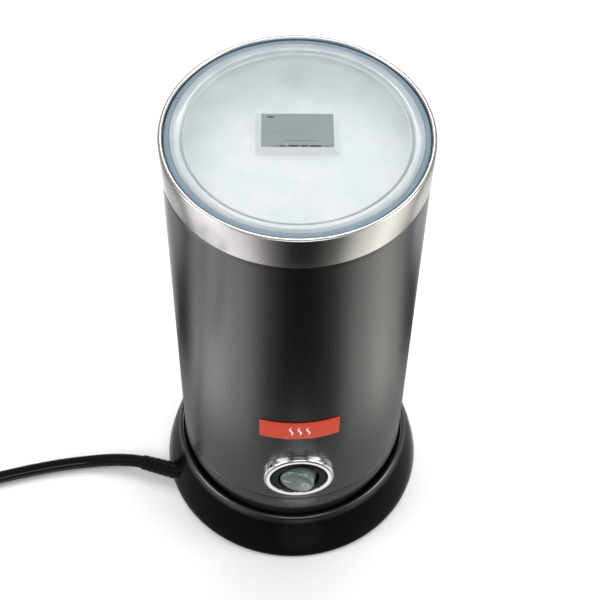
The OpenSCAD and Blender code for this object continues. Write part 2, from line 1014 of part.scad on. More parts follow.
module grip() {
    slope = 2;
    base_z = plate_top_z - bite;
    hull() {
        translate([-grip_w / 2, -grip_l / 2, base_z])
            cube([grip_w, grip_l, bite + 0.3]);
        translate([-grip_w / 2 + slope, -grip_l / 2 + slope, base_z])
            cube([grip_w - 2 * slope, grip_l - 2 * slope, grip_h + bite]);
    }
}

module lid() {
    color([0.85, 0.88, 0.9, 0.5])
        rotate([0, 0, lid_turn])
            union() {
                rotate_extrude()
                    polygon([
                        [0, plate_top_z - lid_t], [skirt_out_r - 1.8, plate_top_z - lid_t],
                        [skirt_out_r - 1.6, skirt_low_z], [skirt_out_r, skirt_low_z],
                        [skirt_out_r, flange_z + 0.7], [lid_r, flange_z + 0.7],
                        [lid_r, lid_top_z - 0.4], [lid_r - 0.4, lid_top_z],
                        [step_r, lid_top_z], [step_r - 1.2, plate_top_z], [0, plate_top_z]
                    ]);
                grip();
            }
}

module lid_seal() {
    color([0.5, 0.6, 0.68])
        rotate_extrude()
            polygon([
                [lid_r - 1.6, flange_z + 0.1], [lip_in_r - clear - 0.3, flange_z + 0.1],
                [lip_in_r - clear, flange_z + 0.4], [lip_in_r - clear, lid_top_z - 0.7],
                [lip_in_r - clear - 0.4, lid_top_z - 0.2], [lid_r + 0.05, lid_top_z - 0.2],
                [lid_r + 0.05, flange_z + 0.65], [lid_r - 1.6, flange_z + 0.65]
            ]);
}

base_cover();
base_plate();
rubber_feet();
base_screws();
socket_housing();
socket_contacts();
cord_clamp();
clamp_screws();
base_leads();
strain_relief();
cord_lead();
cord_coil();
cord_tail();
plug_body();
plug_blades();
outer_shell();
steel_band();
rim_gasket();
inner_cup();
lower_ring();
jug_bottom();
bottom_screws();
connector_half();
connector_contacts();
heater_plate();
heater_element();
thermostat();
thermal_fuse();
chassis();
motor_can();
motor_cap();
motor_bushes();
field_magnets();
motor_screws();
circuit_board();
board_parts();
board_screws();
wiring();
switch_ring();
switch_dish();
switch_body();
switch_terminals();
rocker_pin();
rocker();
front_badge();
motor_shaft();
armature();
magnet_carrier();
drive_magnets();
whisk_hub();
whisk_coil();
whisk_magnets();
lid();
lid_seal();
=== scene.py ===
import math
import bmesh
import bpy
from mathutils import Matrix, Vector


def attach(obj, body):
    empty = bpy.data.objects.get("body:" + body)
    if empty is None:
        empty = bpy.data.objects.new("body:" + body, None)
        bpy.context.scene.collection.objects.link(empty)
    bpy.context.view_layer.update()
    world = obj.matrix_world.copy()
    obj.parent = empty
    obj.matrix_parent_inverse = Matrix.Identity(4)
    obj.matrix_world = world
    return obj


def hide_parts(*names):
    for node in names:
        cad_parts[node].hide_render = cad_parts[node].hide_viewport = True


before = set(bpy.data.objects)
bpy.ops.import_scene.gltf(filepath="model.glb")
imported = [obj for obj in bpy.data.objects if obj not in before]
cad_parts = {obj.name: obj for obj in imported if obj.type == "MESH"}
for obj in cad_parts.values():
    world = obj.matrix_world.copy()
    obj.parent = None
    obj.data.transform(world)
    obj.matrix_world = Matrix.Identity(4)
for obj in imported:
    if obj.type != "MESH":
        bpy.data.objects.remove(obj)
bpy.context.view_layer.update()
mm = 0.001
scene = bpy.context.scene

# camera

cameraPlan = {"place": (-21.6, -341.4, 583.4), "aim": (2.26, -0.16, 117.26), "roll": 1.351,
              "lens": 85.46, "sensor": 36.0}


def setCamera(plan):
    data = bpy.data.cameras.new("studioCamera")
    data.lens = plan["lens"]
    data.sensor_width = plan["sensor"]
    data.clip_start = 0.01
    camera = bpy.data.objects.new("studioCamera", data)
    scene.collection.objects.link(camera)
    place = Vector(plan["place"]) * mm
    ahead = (Vector(plan["aim"]) * mm - place).normalized()
    right = ahead.cross(Vector((0, 0, 1))).normalized()
    up = right.cross(ahead)
    roll = math.radians(plan["roll"])
    tiltedRight = math.cos(roll) * right + math.sin(roll) * up
    tiltedUp = math.cos(roll) * up - math.sin(roll) * right
    turn = Matrix((tiltedRight, tiltedUp, -ahead)).transposed().to_4x4()
    turn.translation = place
    camera.matrix_world = turn
    scene.camera = camera


setCamera(cameraPlan)
print("camera set")

# small node helpers


def wire(tree, value, socket):
    # a socket is linked, anything else becomes the socket's own value
    if isinstance(value, bpy.types.NodeSocket):
        tree.links.new(value, socket)
    else:
        socket.default_value = value


def addNode(tree, kind, label="", inputs=None, **settings):
    node = tree.nodes.new(kind)
    node.label = label
    for key, value in settings.items():
        setattr(node, key, value)
    for key, value in (inputs or {}).items():
        wire(tree, value, node.inputs[key])
    return node


def mathNode(tree, operation, *terms):
    return addNode(tree, "ShaderNodeMath", inputs=dict(enumerate(terms)), operation=operation).outputs[0]


def times(tree, first, second):
    return mathNode(tree, "MULTIPLY", first, second)


def vectorNode(tree, operation, *terms):
    return addNode(tree, "ShaderNodeVectorMath", inputs=dict(enumerate(terms)), operation=operation)


def mapRange(tree, value, start, end, low, high, curve="SMOOTHSTEP"):
    # start to end becomes low to high
    node = addNode(tree, "ShaderNodeMapRange", interpolation_type=curve, inputs={
        "Value": value, "From Min": start, "From Max": end, "To Min": low, "To Max": high})
    return node.outputs["Result"]


def mixColour(tree, share, under, over):
    node = addNode(tree, "ShaderNodeMix", data_type="RGBA", inputs={"Factor": share, 6: under, 7: over})
    return node.outputs[2]


def combineXYZ(tree, **parts):
    return addNode(tree, "ShaderNodeCombineXYZ", inputs=parts).outputs[0]


def separateXYZ(tree, vector):
    return addNode(tree, "ShaderNodeSeparateXYZ", inputs={0: vector}).outputs


# shared effects for the finishes, as node groups


def newEffect(name, inputs):
    tree = bpy.data.node_groups.new(name, "ShaderNodeTree")
    for label, value in inputs.items():
        kind = "NodeSocketColor" if isinstance(value, tuple) else "NodeSocketFloat"
        tree.interface.new_socket(label, in_out="INPUT", socket_type=kind).default_value = value
    for label, kind in (("Color", "Color"), ("Roughness", "Float"), ("Height", "Float")):
        tree.interface.new_socket(label, in_out="OUTPUT", socket_type="NodeSocket" + kind)
    return tree, addNode(tree, "NodeGroupInput").outputs


def endEffect(tree, given, pattern, start, end, height):
    # tone and gloss follow one pattern, and a height goes out for the bump
    addNode(tree, "NodeGroupOutput", inputs={
        "Color": mixColour(tree, pattern, given["Dark"], given["Light"]),
        "Roughness": mapRange(tree, pattern, start, end, given["Low"], given["High"], "LINEAR"),
        "Height": height})
    return tree


def objectPlace(tree):
    return addNode(tree, "ShaderNodeTexCoord").outputs["Object"]


def mouldGrain():
    # fine skin of a moulded or sprayed surface, with slow drifts of tone
    tree, given = newEffect("mouldGrain", {
        "Grain Size": 900.0, "Drift Size": 35.0, "Low": 0.3, "High": 0.4,
        "Dark": (0, 0, 0, 1), "Light": (1, 1, 1, 1)})
    place = objectPlace(tree)
    fine = addNode(tree, "ShaderNodeTexNoise", "grain", {
        "Vector": place, "Scale": given["Grain Size"], "Detail": 3}).outputs["Fac"]
    slow = addNode(tree, "ShaderNodeTexNoise", "drift", {
        "Vector": place, "Scale": given["Drift Size"], "Detail": 5, "Roughness": 0.6}).outputs["Fac"]
    blend = mathNode(tree, "ADD", times(tree, fine, 0.45), times(tree, slow, 0.55))
    return endEffect(tree, given, blend, 0.3, 0.7, fine)


def turnedBrush():
    # brush lines that run round the jug's axis, fine across and long around
    tree, given = newEffect("turnedBrush", {
        "Line Size": 2600.0, "Run": 3.0, "Low": 0.2, "High": 0.35,
        "Dark": (0, 0, 0, 1), "Light": (1, 1, 1, 1)})
    x, y, z = separateXYZ(tree, objectPlace(tree))
    around = mathNode(tree, "ARCTAN2", x, y)
    across = mathNode(tree, "SQRT", mathNode(tree, "ADD", times(tree, x, x), times(tree, y, y)))
    lines = combineXYZ(tree, X=times(tree, around, given["Run"]), Y=times(tree, z, given["Line Size"]),
                       Z=times(tree, across, given["Line Size"]))
    streak = addNode(tree, "ShaderNodeTexNoise", "streak", {
        "Vector": lines, "Scale": 1.0, "Detail": 4, "Roughness": 0.65}).outputs["Fac"]
    return endEffect(tree, given, streak, 0, 1, streak)


grainEffect = mouldGrain()
brushEffect = turnedBrush()


def newFinish(name, effect, settings, depth, **sockets):
    # a material whose colour, roughness and bump come from one shared effect
    finish = bpy.data.materials.new(name)
    finish.use_nodes = True
    tree = finish.node_tree
    shader = tree.nodes["Principled BSDF"].inputs
    for label, value in sockets.items():
        shader[label.replace("_", " ")].default_value = value
    use = addNode(tree, "ShaderNodeGroup", inputs=settings, node_tree=effect)
    wire(tree, use.outputs["Color"], shader["Base Color"])
    wire(tree, use.outputs["Roughness"], shader["Roughness"])
    if depth:
        bump = addNode(tree, "ShaderNodeBump", inputs={
            "Strength": depth[0], "Distance": depth[1] * mm, "Height": use.outputs["Height"]})
        wire(tree, bump.outputs["Normal"], shader["Normal"])
    return finish


def grainFinish(name, dark, light, low, high, size=900.0, drift=35.0, depth=(0.25, 0.03), **sockets):
    settings = {"Grain Size": size, "Drift Size": drift, "Low": low, "High": high,
                "Dark": (*dark, 1), "Light": (*light, 1)}
    return newFinish(name, grainEffect, settings, depth, **sockets)


def brushFinish(name, dark, light, low, high, lines=2600.0, run=3.0, depth=(0.12, 0.02), **sockets):
    settings = {"Line Size": lines, "Run": run, "Low": low, "High": high,
                "Dark": (*dark, 1), "Light": (*light, 1)}
    return newFinish(name, brushEffect, settings, depth, **sockets)


shellPaint = grainFinish("shellPaint", (0.0022, 0.0022, 0.0020), (0.0042, 0.0042, 0.0040), 0.265, 0.285,
                         size=1700, depth=(0.03, 0.004), IOR=1.88)
basePlastic = grainFinish("basePlastic", (0.0010, 0.0011, 0.0008), (0.0020, 0.0021, 0.0017), 0.20, 0.27,
                          size=1300, depth=(0.10, 0.010))
dishPlastic = grainFinish("dishPlastic", (0.0012, 0.0012, 0.0011), (0.0024, 0.0024, 0.0022), 0.30, 0.42,
                          size=1300, depth=(0.10, 0.010), Specular_IOR_Level=0.12)
innerBlack = grainFinish("innerBlack", (0.02, 0.02, 0.02), (0.035, 0.035, 0.035), 0.45, 0.6)
innerGrey = grainFinish("innerGrey", (0.20, 0.20, 0.20), (0.28, 0.28, 0.27), 0.5, 0.62)
insulator = grainFinish("insulator", (0.62, 0.60, 0.54), (0.78, 0.76, 0.70), 0.4, 0.55)
footRubber = grainFinish("footRubber", (0.03, 0.03, 0.03), (0.06, 0.06, 0.055), 0.7, 0.85,
                         size=2200, depth=(0.4, 0.05))
cordJacket = grainFinish("cordJacket", (0.0008, 0.0008, 0.0008), (0.0020, 0.0020, 0.0020), 0.12, 0.18,
                         size=1800, depth=(0.10, 0.01), Specular_IOR_Level=0.22)
bandSteel = brushFinish("bandSteel", (0.60, 0.585, 0.565), (0.70, 0.685, 0.66), 0.23, 0.28,
                        depth=(0.05, 0.006), Metallic=1.0)
cupSteel = brushFinish("cupSteel", (0.62, 0.61, 0.60), (0.76, 0.75, 0.74), 0.22, 0.36, lines=1800.0,
                       Metallic=1.0)
ringChrome = brushFinish("ringChrome", (0.82, 0.82, 0.82), (0.88, 0.88, 0.88), 0.04, 0.08,
                         depth=None, Metallic=1.0)
zincSteel = grainFinish("zincSteel", (0.50, 0.50, 0.48), (0.66, 0.65, 0.62), 0.28, 0.42, Metallic=1.0)
springSteel = grainFinish("springSteel", (0.60, 0.60, 0.59), (0.74, 0.73, 0.72), 0.14, 0.24, Metallic=1.0)
contactBrass = grainFinish("contactBrass", (0.62, 0.42, 0.16), (0.80, 0.58, 0.27), 0.2, 0.34, Metallic=1.0)
castMetal = grainFinish("castMetal", (0.42, 0.42, 0.41), (0.58, 0.57, 0.55), 0.4, 0.55, size=600,
                        depth=(0.4, 0.08), Metallic=1.0)
magnetGrey = grainFinish("magnetGrey", (0.08, 0.08, 0.085), (0.16, 0.16, 0.16), 0.45, 0.6, Metallic=0.6)
copperWinding = brushFinish("copperWinding", (0.36, 0.11, 0.04), (0.66, 0.29, 0.12), 0.25, 0.4,
                            lines=2600.0, depth=(0.5, 0.1), Metallic=1.0)
boardGreen = grainFinish("boardGreen", (0.010, 0.09, 0.035), (0.03, 0.17, 0.07), 0.3, 0.42, size=500)
boardParts = grainFinish("boardParts", (0.03, 0.05, 0.16), (0.07, 0.10, 0.26), 0.3, 0.45)
leadJacket = grainFinish("leadJacket", (0.16, 0.06, 0.025), (0.27, 0.12, 0.05), 0.35, 0.5)
gasketSilicone = grainFinish("gasketSilicone", (0.6, 0.6, 0.58), (0.74, 0.74, 0.72), 0.4, 0.5)
badgeEnamel = grainFinish("badgeEnamel", (0.54, 0.046, 0.018), (0.64, 0.070, 0.030), 0.30, 0.40,
                          size=700, depth=(0.08, 0.01), Specular_IOR_Level=0.25)
badgeWhite = grainFinish("badgeWhite", (0.66, 0.72, 0.76), (0.80, 0.84, 0.86), 0.25, 0.35)
rockerPlastic = grainFinish("rockerPlastic", (0.085, 0.118, 0.114), (0.165, 0.205, 0.196), 0.10, 0.18,
                            size=500, drift=190, depth=(0.04, 0.02), Transmission_Weight=0.12,
                            Coat_Weight=0.6)
markWhite = grainFinish("markWhite", (0.34, 0.43, 0.42), (0.48, 0.56, 0.55), 0.3, 0.4)
sealSilicone = grainFinish("sealSilicone", (0.16, 0.24, 0.31), (0.27, 0.37, 0.44), 0.25, 0.4,
                           size=500, drift=90, depth=(0.1, 0.03), Transmission_Weight=0.35, IOR=1.43)
lidPlastic = grainFinish("lidPlastic", (0.50, 0.61, 0.65), (0.95, 0.965, 0.97), 0.07, 0.14,
                         size=90, drift=48, depth=(0.03, 0.03), Transmission_Weight=0.66, IOR=1.49)
gripTint = grainFinish("gripTint", (0.150, 0.185, 0.182), (0.190, 0.224, 0.222), 0.16, 0.26,
                       size=220, drift=60, depth=(0.05, 0.04), Specular_IOR_Level=0.15)
gripFrost = grainFinish("gripFrost", (0.66, 0.70, 0.71), (0.82, 0.85, 0.86), 0.35, 0.5,
                        size=400, drift=90, depth=(0.1, 0.03), Transmission_Weight=0.3, IOR=1.49)


def fadeShine(finish, low, high, below, above):
    # the specular level climbs from one height to another, as on a rim polished by handling
    tree = finish.node_tree
    climb = mapRange(tree, separateXYZ(tree, objectPlace(tree))["Z"], low * mm, high * mm, below, above)
    wire(tree, climb, tree.nodes["Principled BSDF"].inputs["Specular IOR Level"])


fadeShine(basePlastic, 21.5, 24.6, 0.05, 1.0)


# painted shadow along the front edge of the grip's flat top, standing in for the shade at the edge of a
# recess, and darker marks on the top, in its own turned frame: place, half size and darkness
gripShadowMarks = {"turn": 2.5, "dark": (0.012, 0.018, 0.018), "core": 0.55, "gaps": (0.36, 0.48), "shadowAndMarks": [
    # the first is the painted shadow along the front edge; the other three are darker marks
    {"at": (1.4, -7.45), "half": (12.2, 0.75), "depth": 1.0, "broken": 620},
    {"at": (1.0, -4.9), "half": (8.4, 0.6), "depth": 0.34, "broken": 90},
    {"at": (0.0, -1.0), "half": (12.0, 2.2), "depth": 0.08, "broken": 60},
    {"at": (-9.4, 6.3), "half": (1.9, 0.5), "depth": 0.95, "broken": 30}]}


def paintGripShadow(finish, plan):
    # darkens the grip's top with a painted shadow along its front edge and with darker marks, each broken up
    # by noise
    tree = finish.node_tree
    shader = tree.nodes["Principled BSDF"]
    colour = shader.inputs["Base Color"].links[0].from_socket
    turn = addNode(tree, "ShaderNodeMapping", inputs={
        "Vector": objectPlace(tree), "Rotation": (0, 0, math.radians(plan["turn"]))}).outputs["Vector"]
    for darkMark in plan["shadowAndMarks"]:
        shift = vectorNode(tree, "SUBTRACT", turn, [v * mm for v in darkMark["at"]] + [0])
        squeeze = vectorNode(tree, "MULTIPLY", shift.outputs[0], [1 / (v * mm) for v in darkMark["half"]] + [0])
        far = vectorNode(tree, "LENGTH", squeeze.outputs[0]).outputs["Value"]
        near = mapRange(tree, far, plan["core"], 1, darkMark["depth"], 0)
        broken = addNode(tree, "ShaderNodeTexNoise", inputs={"Scale": darkMark["broken"], "Vector": turn})
        gaps = mapRange(tree, broken.outputs["Fac"], *plan["gaps"], 0, 1)
        colour = mixColour(tree, times(tree, near, gaps), colour, (*plan["dark"], 1))
    wire(tree, colour, shader.inputs["Base Color"])


paintGripShadow(gripTint, gripShadowMarks)
print("finishes made")

# geometry node trees


def newShapeTree(name, inputs):
    tree = bpy.data.node_groups.new(name, "GeometryNodeTree")
    tree.interface.new_socket("Geometry", in_out="INPUT", socket_type="NodeSocketGeometry")
    keys = {}
    for label, value in inputs.items():
        kind = {int: "NodeSocketInt", float: "NodeSocketFloat"}.get(type(value), "NodeSocketMaterial")
        socket = tree.interface.new_socket(label, in_out="INPUT", socket_type=kind)
        if value is not None:
            socket.default_value = value
        keys[label] = socket.identifier
    tree.interface.new_socket("Geometry", in_out="OUTPUT", socket_type="NodeSocketGeometry")
    return tree, addNode(tree, "NodeGroupInput").outputs, keys


def endShapeTree(tree, given, shape):
    realize = addNode(tree, "GeometryNodeRealizeInstances", inputs={"Geometry": shape})
    paint = addNode(tree, "GeometryNodeSetMaterial", inputs={
        "Geometry": realize.outputs["Geometry"], "Material": given["Finish"]})
    addNode(tree, "NodeGroupOutput", inputs={"Geometry": paint.outputs["Geometry"]})


def buildTurnedTree():
    # an outline is swept once round the axis, and its poles are closed
    tree, given, keys = newShapeTree("turnedPiece", {
        "Segments": 192, "Pole Radius": 1e-5, "Weld Reach": 3e-5, "Finish": None})
    outline = addNode(tree, "GeometryNodeMeshToCurve", inputs={"Mesh": given["Geometry"]})
    circle = addNode(tree, "GeometryNodeCurvePrimitiveCircle", inputs={
        "Resolution": given["Segments"], "Radius": given["Pole Radius"]})
    sweep = addNode(tree, "GeometryNodeCurveToMesh", inputs={
        "Curve": circle.outputs["Curve"], "Profile Curve": outline.outputs["Curve"]})
    weld = addNode(tree, "GeometryNodeMergeByDistance", inputs={
        "Geometry": sweep.outputs["Mesh"], "Distance": given["Weld Reach"]})
    endShapeTree(tree, given, weld.outputs["Geometry"])
    return tree, keys


def buildSpringTree():
    # a close coil of wire bent round into a ring
    tree, given, keys = newShapeTree("bentSpring", {
        "Points": 840, "Turns": 60.0, "Ring Radius": 0.0162, "Coil Radius": 0.0024,
        "Wire Radius": 0.0005, "Height": 0.1078, "Finish": None})
    ring = addNode(tree, "GeometryNodeCurvePrimitiveCircle", inputs={"Resolution": given["Points"]})
    step = addNode(tree, "GeometryNodeInputIndex").outputs[0]
    angle = times(tree, mathNode(tree, "DIVIDE", step, given["Points"]), 2 * math.pi)
    twist = times(tree, angle, given["Turns"])
    reach = times(tree, mathNode(tree, "COSINE", twist), given["Coil Radius"])
    reach = mathNode(tree, "ADD", reach, given["Ring Radius"])
    rise = times(tree, mathNode(tree, "SINE", twist), given["Coil Radius"])
    spot = combineXYZ(tree, X=times(tree, reach, mathNode(tree, "COSINE", angle)),
                      Y=times(tree, reach, mathNode(tree, "SINE", angle)),
                      Z=mathNode(tree, "ADD", rise, given["Height"]))
    move = addNode(tree, "GeometryNodeSetPosition", inputs={
        "Geometry": ring.outputs["Curve"], "Position": spot})
    section = addNode(tree, "GeometryNodeCurvePrimitiveCircle", inputs={
        "Resolution": 8, "Radius": given["Wire Radius"]})
    sweep = addNode(tree, "GeometryNodeCurveToMesh", inputs={
        "Curve": move.outputs["Geometry"], "Profile Curve": section.outputs["Curve"]})
    endShapeTree(tree, given, sweep.outputs["Mesh"])
    return tree, keys


def shiftUp(tree, shape, height):
    move = addNode(tree, "GeometryNodeTransform", inputs={
        "Geometry": shape, "Translation": combineXYZ(tree, Z=height)})
    return move.outputs["Geometry"]


def buildScrewTree():
    # a cross-head screw on every point given, its shank along +Z unless it is turned over
    tree, given, keys = newShapeTree("crossScrews", {
        "Head Radius": 0.0028, "Head Height": 0.001, "Slot Width": 0.0008, "Shank Radius": 0.00125,
        "Shank Length": 0.009, "Tip Over": 0.0, "Finish": None})
    tall = given["Head Height"]
    head = addNode(tree, "GeometryNodeMeshCylinder", inputs={
        "Vertices": 40, "Radius": given["Head Radius"], "Depth": tall})
    cut = addNode(tree, "GeometryNodeMeshBoolean", operation="DIFFERENCE", solver="EXACT", inputs={
        "Mesh 1": shiftUp(tree, head.outputs["Mesh"], times(tree, tall, -0.5))})
    slotLong = times(tree, given["Head Radius"], 1.2)
    slotDeep = times(tree, tall, 1.2)
    for x, y in ((slotLong, given["Slot Width"]), (given["Slot Width"], slotLong)):
        bar = addNode(tree, "GeometryNodeMeshCube", inputs={"Size": combineXYZ(tree, X=x, Y=y, Z=slotDeep)})
        wire(tree, shiftUp(tree, bar.outputs["Mesh"], times(tree, tall, -1.0)), cut.inputs["Mesh 2"])
    shank = addNode(tree, "GeometryNodeMeshCylinder", inputs={
        "Vertices": 24, "Radius": given["Shank Radius"], "Depth": given["Shank Length"]})
    join = addNode(tree, "GeometryNodeJoinGeometry", inputs={0: cut.outputs["Mesh"]})
    lifted = shiftUp(tree, shank.outputs["Mesh"], times(tree, given["Shank Length"], 0.5))
    wire(tree, lifted, join.inputs[0])
    spread = addNode(tree, "GeometryNodeInstanceOnPoints", inputs={
        "Points": given["Geometry"], "Instance": join.outputs[0],
        "Rotation": combineXYZ(tree, X=given["Tip Over"])})
    endShapeTree(tree, given, spread.outputs["Instances"])
    return tree, keys


turnedTree, turnedKeys = buildTurnedTree()
springTree, springKeys = buildSpringTree()
screwTree, screwKeys = buildScrewTree()


def addObject(name, data):
    thing = bpy.data.objects.new(name, data)
    scene.collection.objects.link(thing)
    return thing


def meshFrom(work, name):
    mesh = bpy.data.meshes.new(name)
    work.to_mesh(mesh)
    work.free()
    return mesh


def bridge(work, first, second):
    # faces between two closed rings of points
    for k in range(len(first)):
        after = (k + 1) % len(first)
        work.faces.new((first[k], first[after], second[after], second[k]))


def addModifier(piece, label, kind, **settings):
    modifier = piece.modifiers.new(label, kind)
    for key, value in settings.items():
        setattr(modifier, key, value)
    return modifier


def plainMesh(piece):
    # works the piece's modifiers into its mesh
    mesh = bpy.data.meshes.new_from_object(piece.evaluated_get(bpy.context.evaluated_depsgraph_get()))
    piece.modifiers.clear()
    piece.data = mesh
    return mesh


def combined(mesh, operation, other):
    # a mesh with another one added to it, or taken out of it
    piece = addObject(mesh.name, mesh)
    tool = addObject(other.name, other)
    addModifier(piece, "combine", "BOOLEAN", operation=operation, object=tool, solver="EXACT")
    ready = plainMesh(piece)
    bpy.data.objects.remove(piece)
    bpy.data.objects.remove(tool)
    return ready


def paint(mesh, *finishes):
    mesh.materials.clear()
    for finish in finishes:
        mesh.materials.append(finish)


def grow(name, start, tree, keys, settings):
    # runs a tree on a start mesh and returns the plain mesh that it gives
    seed = addObject(name + "Seed", start)
    modifier = addModifier(seed, "shape", "NODES", node_group=tree)
    for label, value in settings.items():
        modifier[keys[label]] = value
    mesh = plainMesh(seed)
    bpy.data.objects.remove(seed)
    mesh.name = name
    return mesh


def finishMesh(mesh, sharp=35):
    # outward faces, smooth where it is round, crisp where it turns a corner
    work = bmesh.new()
    work.from_mesh(mesh)
    if work.calc_volume(signed=True) < 0:
        bmesh.ops.reverse_faces(work, faces=work.faces)
    work.to_mesh(mesh)
    work.free()
    mesh.shade_smooth()
    mesh.set_sharp_from_angle(angle=math.radians(sharp))
    return mesh


def place(name, mesh, body, *nodes, finish=None, modifiers=None):
    # the finished mesh becomes a piece that rides on its body and stands for its CAD nodes
    piece = addObject(name, mesh)
    if finish:
        paint(mesh, finish)
    if modifiers:
        for label, change in modifiers.items():
            addModifier(piece, label, **change)
        finishMesh(plainMesh(piece))
    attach(piece, body)
    if nodes:
        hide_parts(*nodes)
    return piece


def wallAndEdge(thickness, softened=0):
    # modifiers that give a sheet its thickness, and take off its corners where asked
    changes = {"wall": {"kind": "SOLIDIFY", "thickness": thickness * mm, "offset": -1}}
    if softened:
        changes["edge"] = {"kind": "BEVEL", "width": softened * mm, "segments": 2,
                           "limit_method": "ANGLE", "angle_limit": math.radians(50)}
    return changes


def rounded(corners, steps=4):
    # corners (r, z, radius) become an outline whose corners are rounded by that radius
    outline = []
    count = len(corners)
    for i, corner in enumerate(corners):
        here = Vector(corner[:2])
        radius = corner[2] if len(corner) > 2 else 0
        if radius == 0:
            outline.append(tuple(here))
            continue
        before = (Vector(corners[i - 1][:2]) - here).normalized()
        after = (Vector(corners[(i + 1) % count][:2]) - here).normalized()
        half = before.angle(after) / 2
        trim = radius / math.tan(half)
        middle = here + (before + after).normalized() * radius / math.sin(half)
        start = here + before * trim - middle
        end = here + after * trim - middle
        for k in range(steps + 1):
            share = k / steps
            spoke = start.slerp(end, share)
            outline.append(tuple(middle + spoke.normalized() * radius))
    return outline


def turned(name, outline, finish, segments=192, shut=True, sharp=35):
    # outline points are (radius, height) in mm
    mesh = bpy.data.meshes.new(name + "Outline")
    count = len(outline)
    ties = [(i, (i + 1) % count) for i in range(count if shut else count - 1)]
    mesh.from_pydata([(r * mm, -z * mm, 0) for r, z in outline], ties, [])
    built = grow(name, mesh, turnedTree, turnedKeys, {"Segments": segments, "Finish": finish})
    return finishMesh(built, sharp)


# the cord comes first

cordPlan = {"diameter": 5.8, "exit": (-54.5, -14, 6.2), "turn": 19, "inside": 22, "reach": 16,
            "centre": (-175, -58.5), "turns": 2.82, "start": 103.3, "wide": 35, "narrow": 29,
            "crossing": 8.7, "steps": 15, "realLength": 0.76}
leadRoute = [(-78, -6.9, 5.3), (-87, -5.9, 4), (-96, -5.9, 3.1), (-106, -6.8, 2.9),
             (-117, -8.5, 2.9), (-128, -10.7, 2.9), (-139, -13.2, 2.9), (-150, -15.9, 2.9),
             (-161, -18.7, 2.9), (-172, -21.5, 2.9)]
tailRoute = [(-153.9, -32.6, 8.7), (-160, -24.6, 8.8), (-166.5, -16, 9.3),
             (-173, -7.4, 10.6), (-179.5, 1.2, 12.2), (-186, 9.8, 13)]
cordHeading = Vector((-math.cos(math.radians(cordPlan["turn"])), math.sin(math.radians(cordPlan["turn"])), 0))


def ease(value, low, high):
    share = min(max((value - low) / (high - low), 0), 1)
    return share * share * (3 - 2 * share)


def coilRoute(plan):
    route = []
    for i in range(int(plan["turns"] * plan["steps"]) + 1):
        t = i / plan["steps"]
        angle = math.radians(plan["start"] + 360 * t)
        drop = plan["wide"] - plan["narrow"]
        radius = plan["wide"] - drop * ease(t, 0.78, 0.98) + drop / 2 * ease(t, 1.6, 1.8)
        low = plan["diameter"] / 2
        height = low + (plan["crossing"] - low) * ease(t, 1.5, 1.75)
        route.append((plan["centre"][0] + radius * math.cos(angle),
                      plan["centre"][1] + radius * math.sin(angle), height))
    return route


def layCord(plan):
    exitAt = Vector(plan["exit"])
    route = [tuple(exitAt + cordHeading * s) for s in (-plan["inside"], -9, 3, plan["reach"])]
    route += leadRoute + coilRoute(plan) + tailRoute
    line = bpy.data.curves.new("mainsCord", "CURVE")
    line.dimensions = "3D"
    line.bevel_depth = plan["diameter"] / 2 * mm
    line.bevel_resolution = 6
    line.resolution_u = 6
    line.use_fill_caps = True
    spline = line.splines.new("BEZIER")
    spline.bezier_points.add(len(route) - 1)
    for point, spot in zip(spline.bezier_points, route):
        point.co = Vector(spot) * mm
        point.handle_left_type = "AUTO"
        point.handle_right_type = "AUTO"
    line.materials.append(cordJacket)
    cord = addObject("mainsCord", line)
    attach(cord, "base")
    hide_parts("cord_lead", "cord_coil", "cord_tail")
    return cord


def facing(spot, direction):
    # a matrix that lays +Z along a level direction, with +Y kept upright
    across = Vector((0, 0, 1)).cross(direction).normalized()
    turn = Matrix((across, Vector((0, 0, 1)), direction)).transposed().to_4x4()
    turn.translation = Vector(spot) * mm
    return turn


reliefPlan = {"inside": 11.5, "outside": 16, "bore": 2.98, "thick": 3.9, "thin": 3.4, "ribs": 5,
              "ribStep": 2.6, "ribDeep": 0.35, "firstRib": 2, "flange": 4.5, "flangeEnd": -7.2}


def makeRelief(plan):
    outline = [(plan["bore"], -plan["inside"]), (plan["flange"], -plan["inside"]),
               (plan["flange"], plan["flangeEnd"]), (plan["thick"], plan["flangeEnd"] + 0.1)]
    for i in range(plan["ribs"]):
        z = plan["firstRib"] + plan["ribStep"] * i
        edge = plan["thick"] - (plan["thick"] - plan["thin"]) * z / plan["outside"]
        groove = edge - plan["ribDeep"]
        outline += [(edge, z), (groove, z + 0.15), (groove, z + 0.75), (edge - 0.05, z + 0.9)]
    outline += [(plan["thin"], plan["outside"] - 0.3), (plan["thin"] - 0.25, plan["outside"]),
                (plan["bore"], plan["outside"])]
    mesh = turned("strainRelief", outline, cordJacket, 48)
    mesh.transform(facing(cordPlan["exit"], cordHeading))
    return place("strainRelief", finishMesh(mesh), "base", "strain_relief")


plugPlan = {"at": (-186, 9.8, 13), "turn": 127, "crisp": 42}
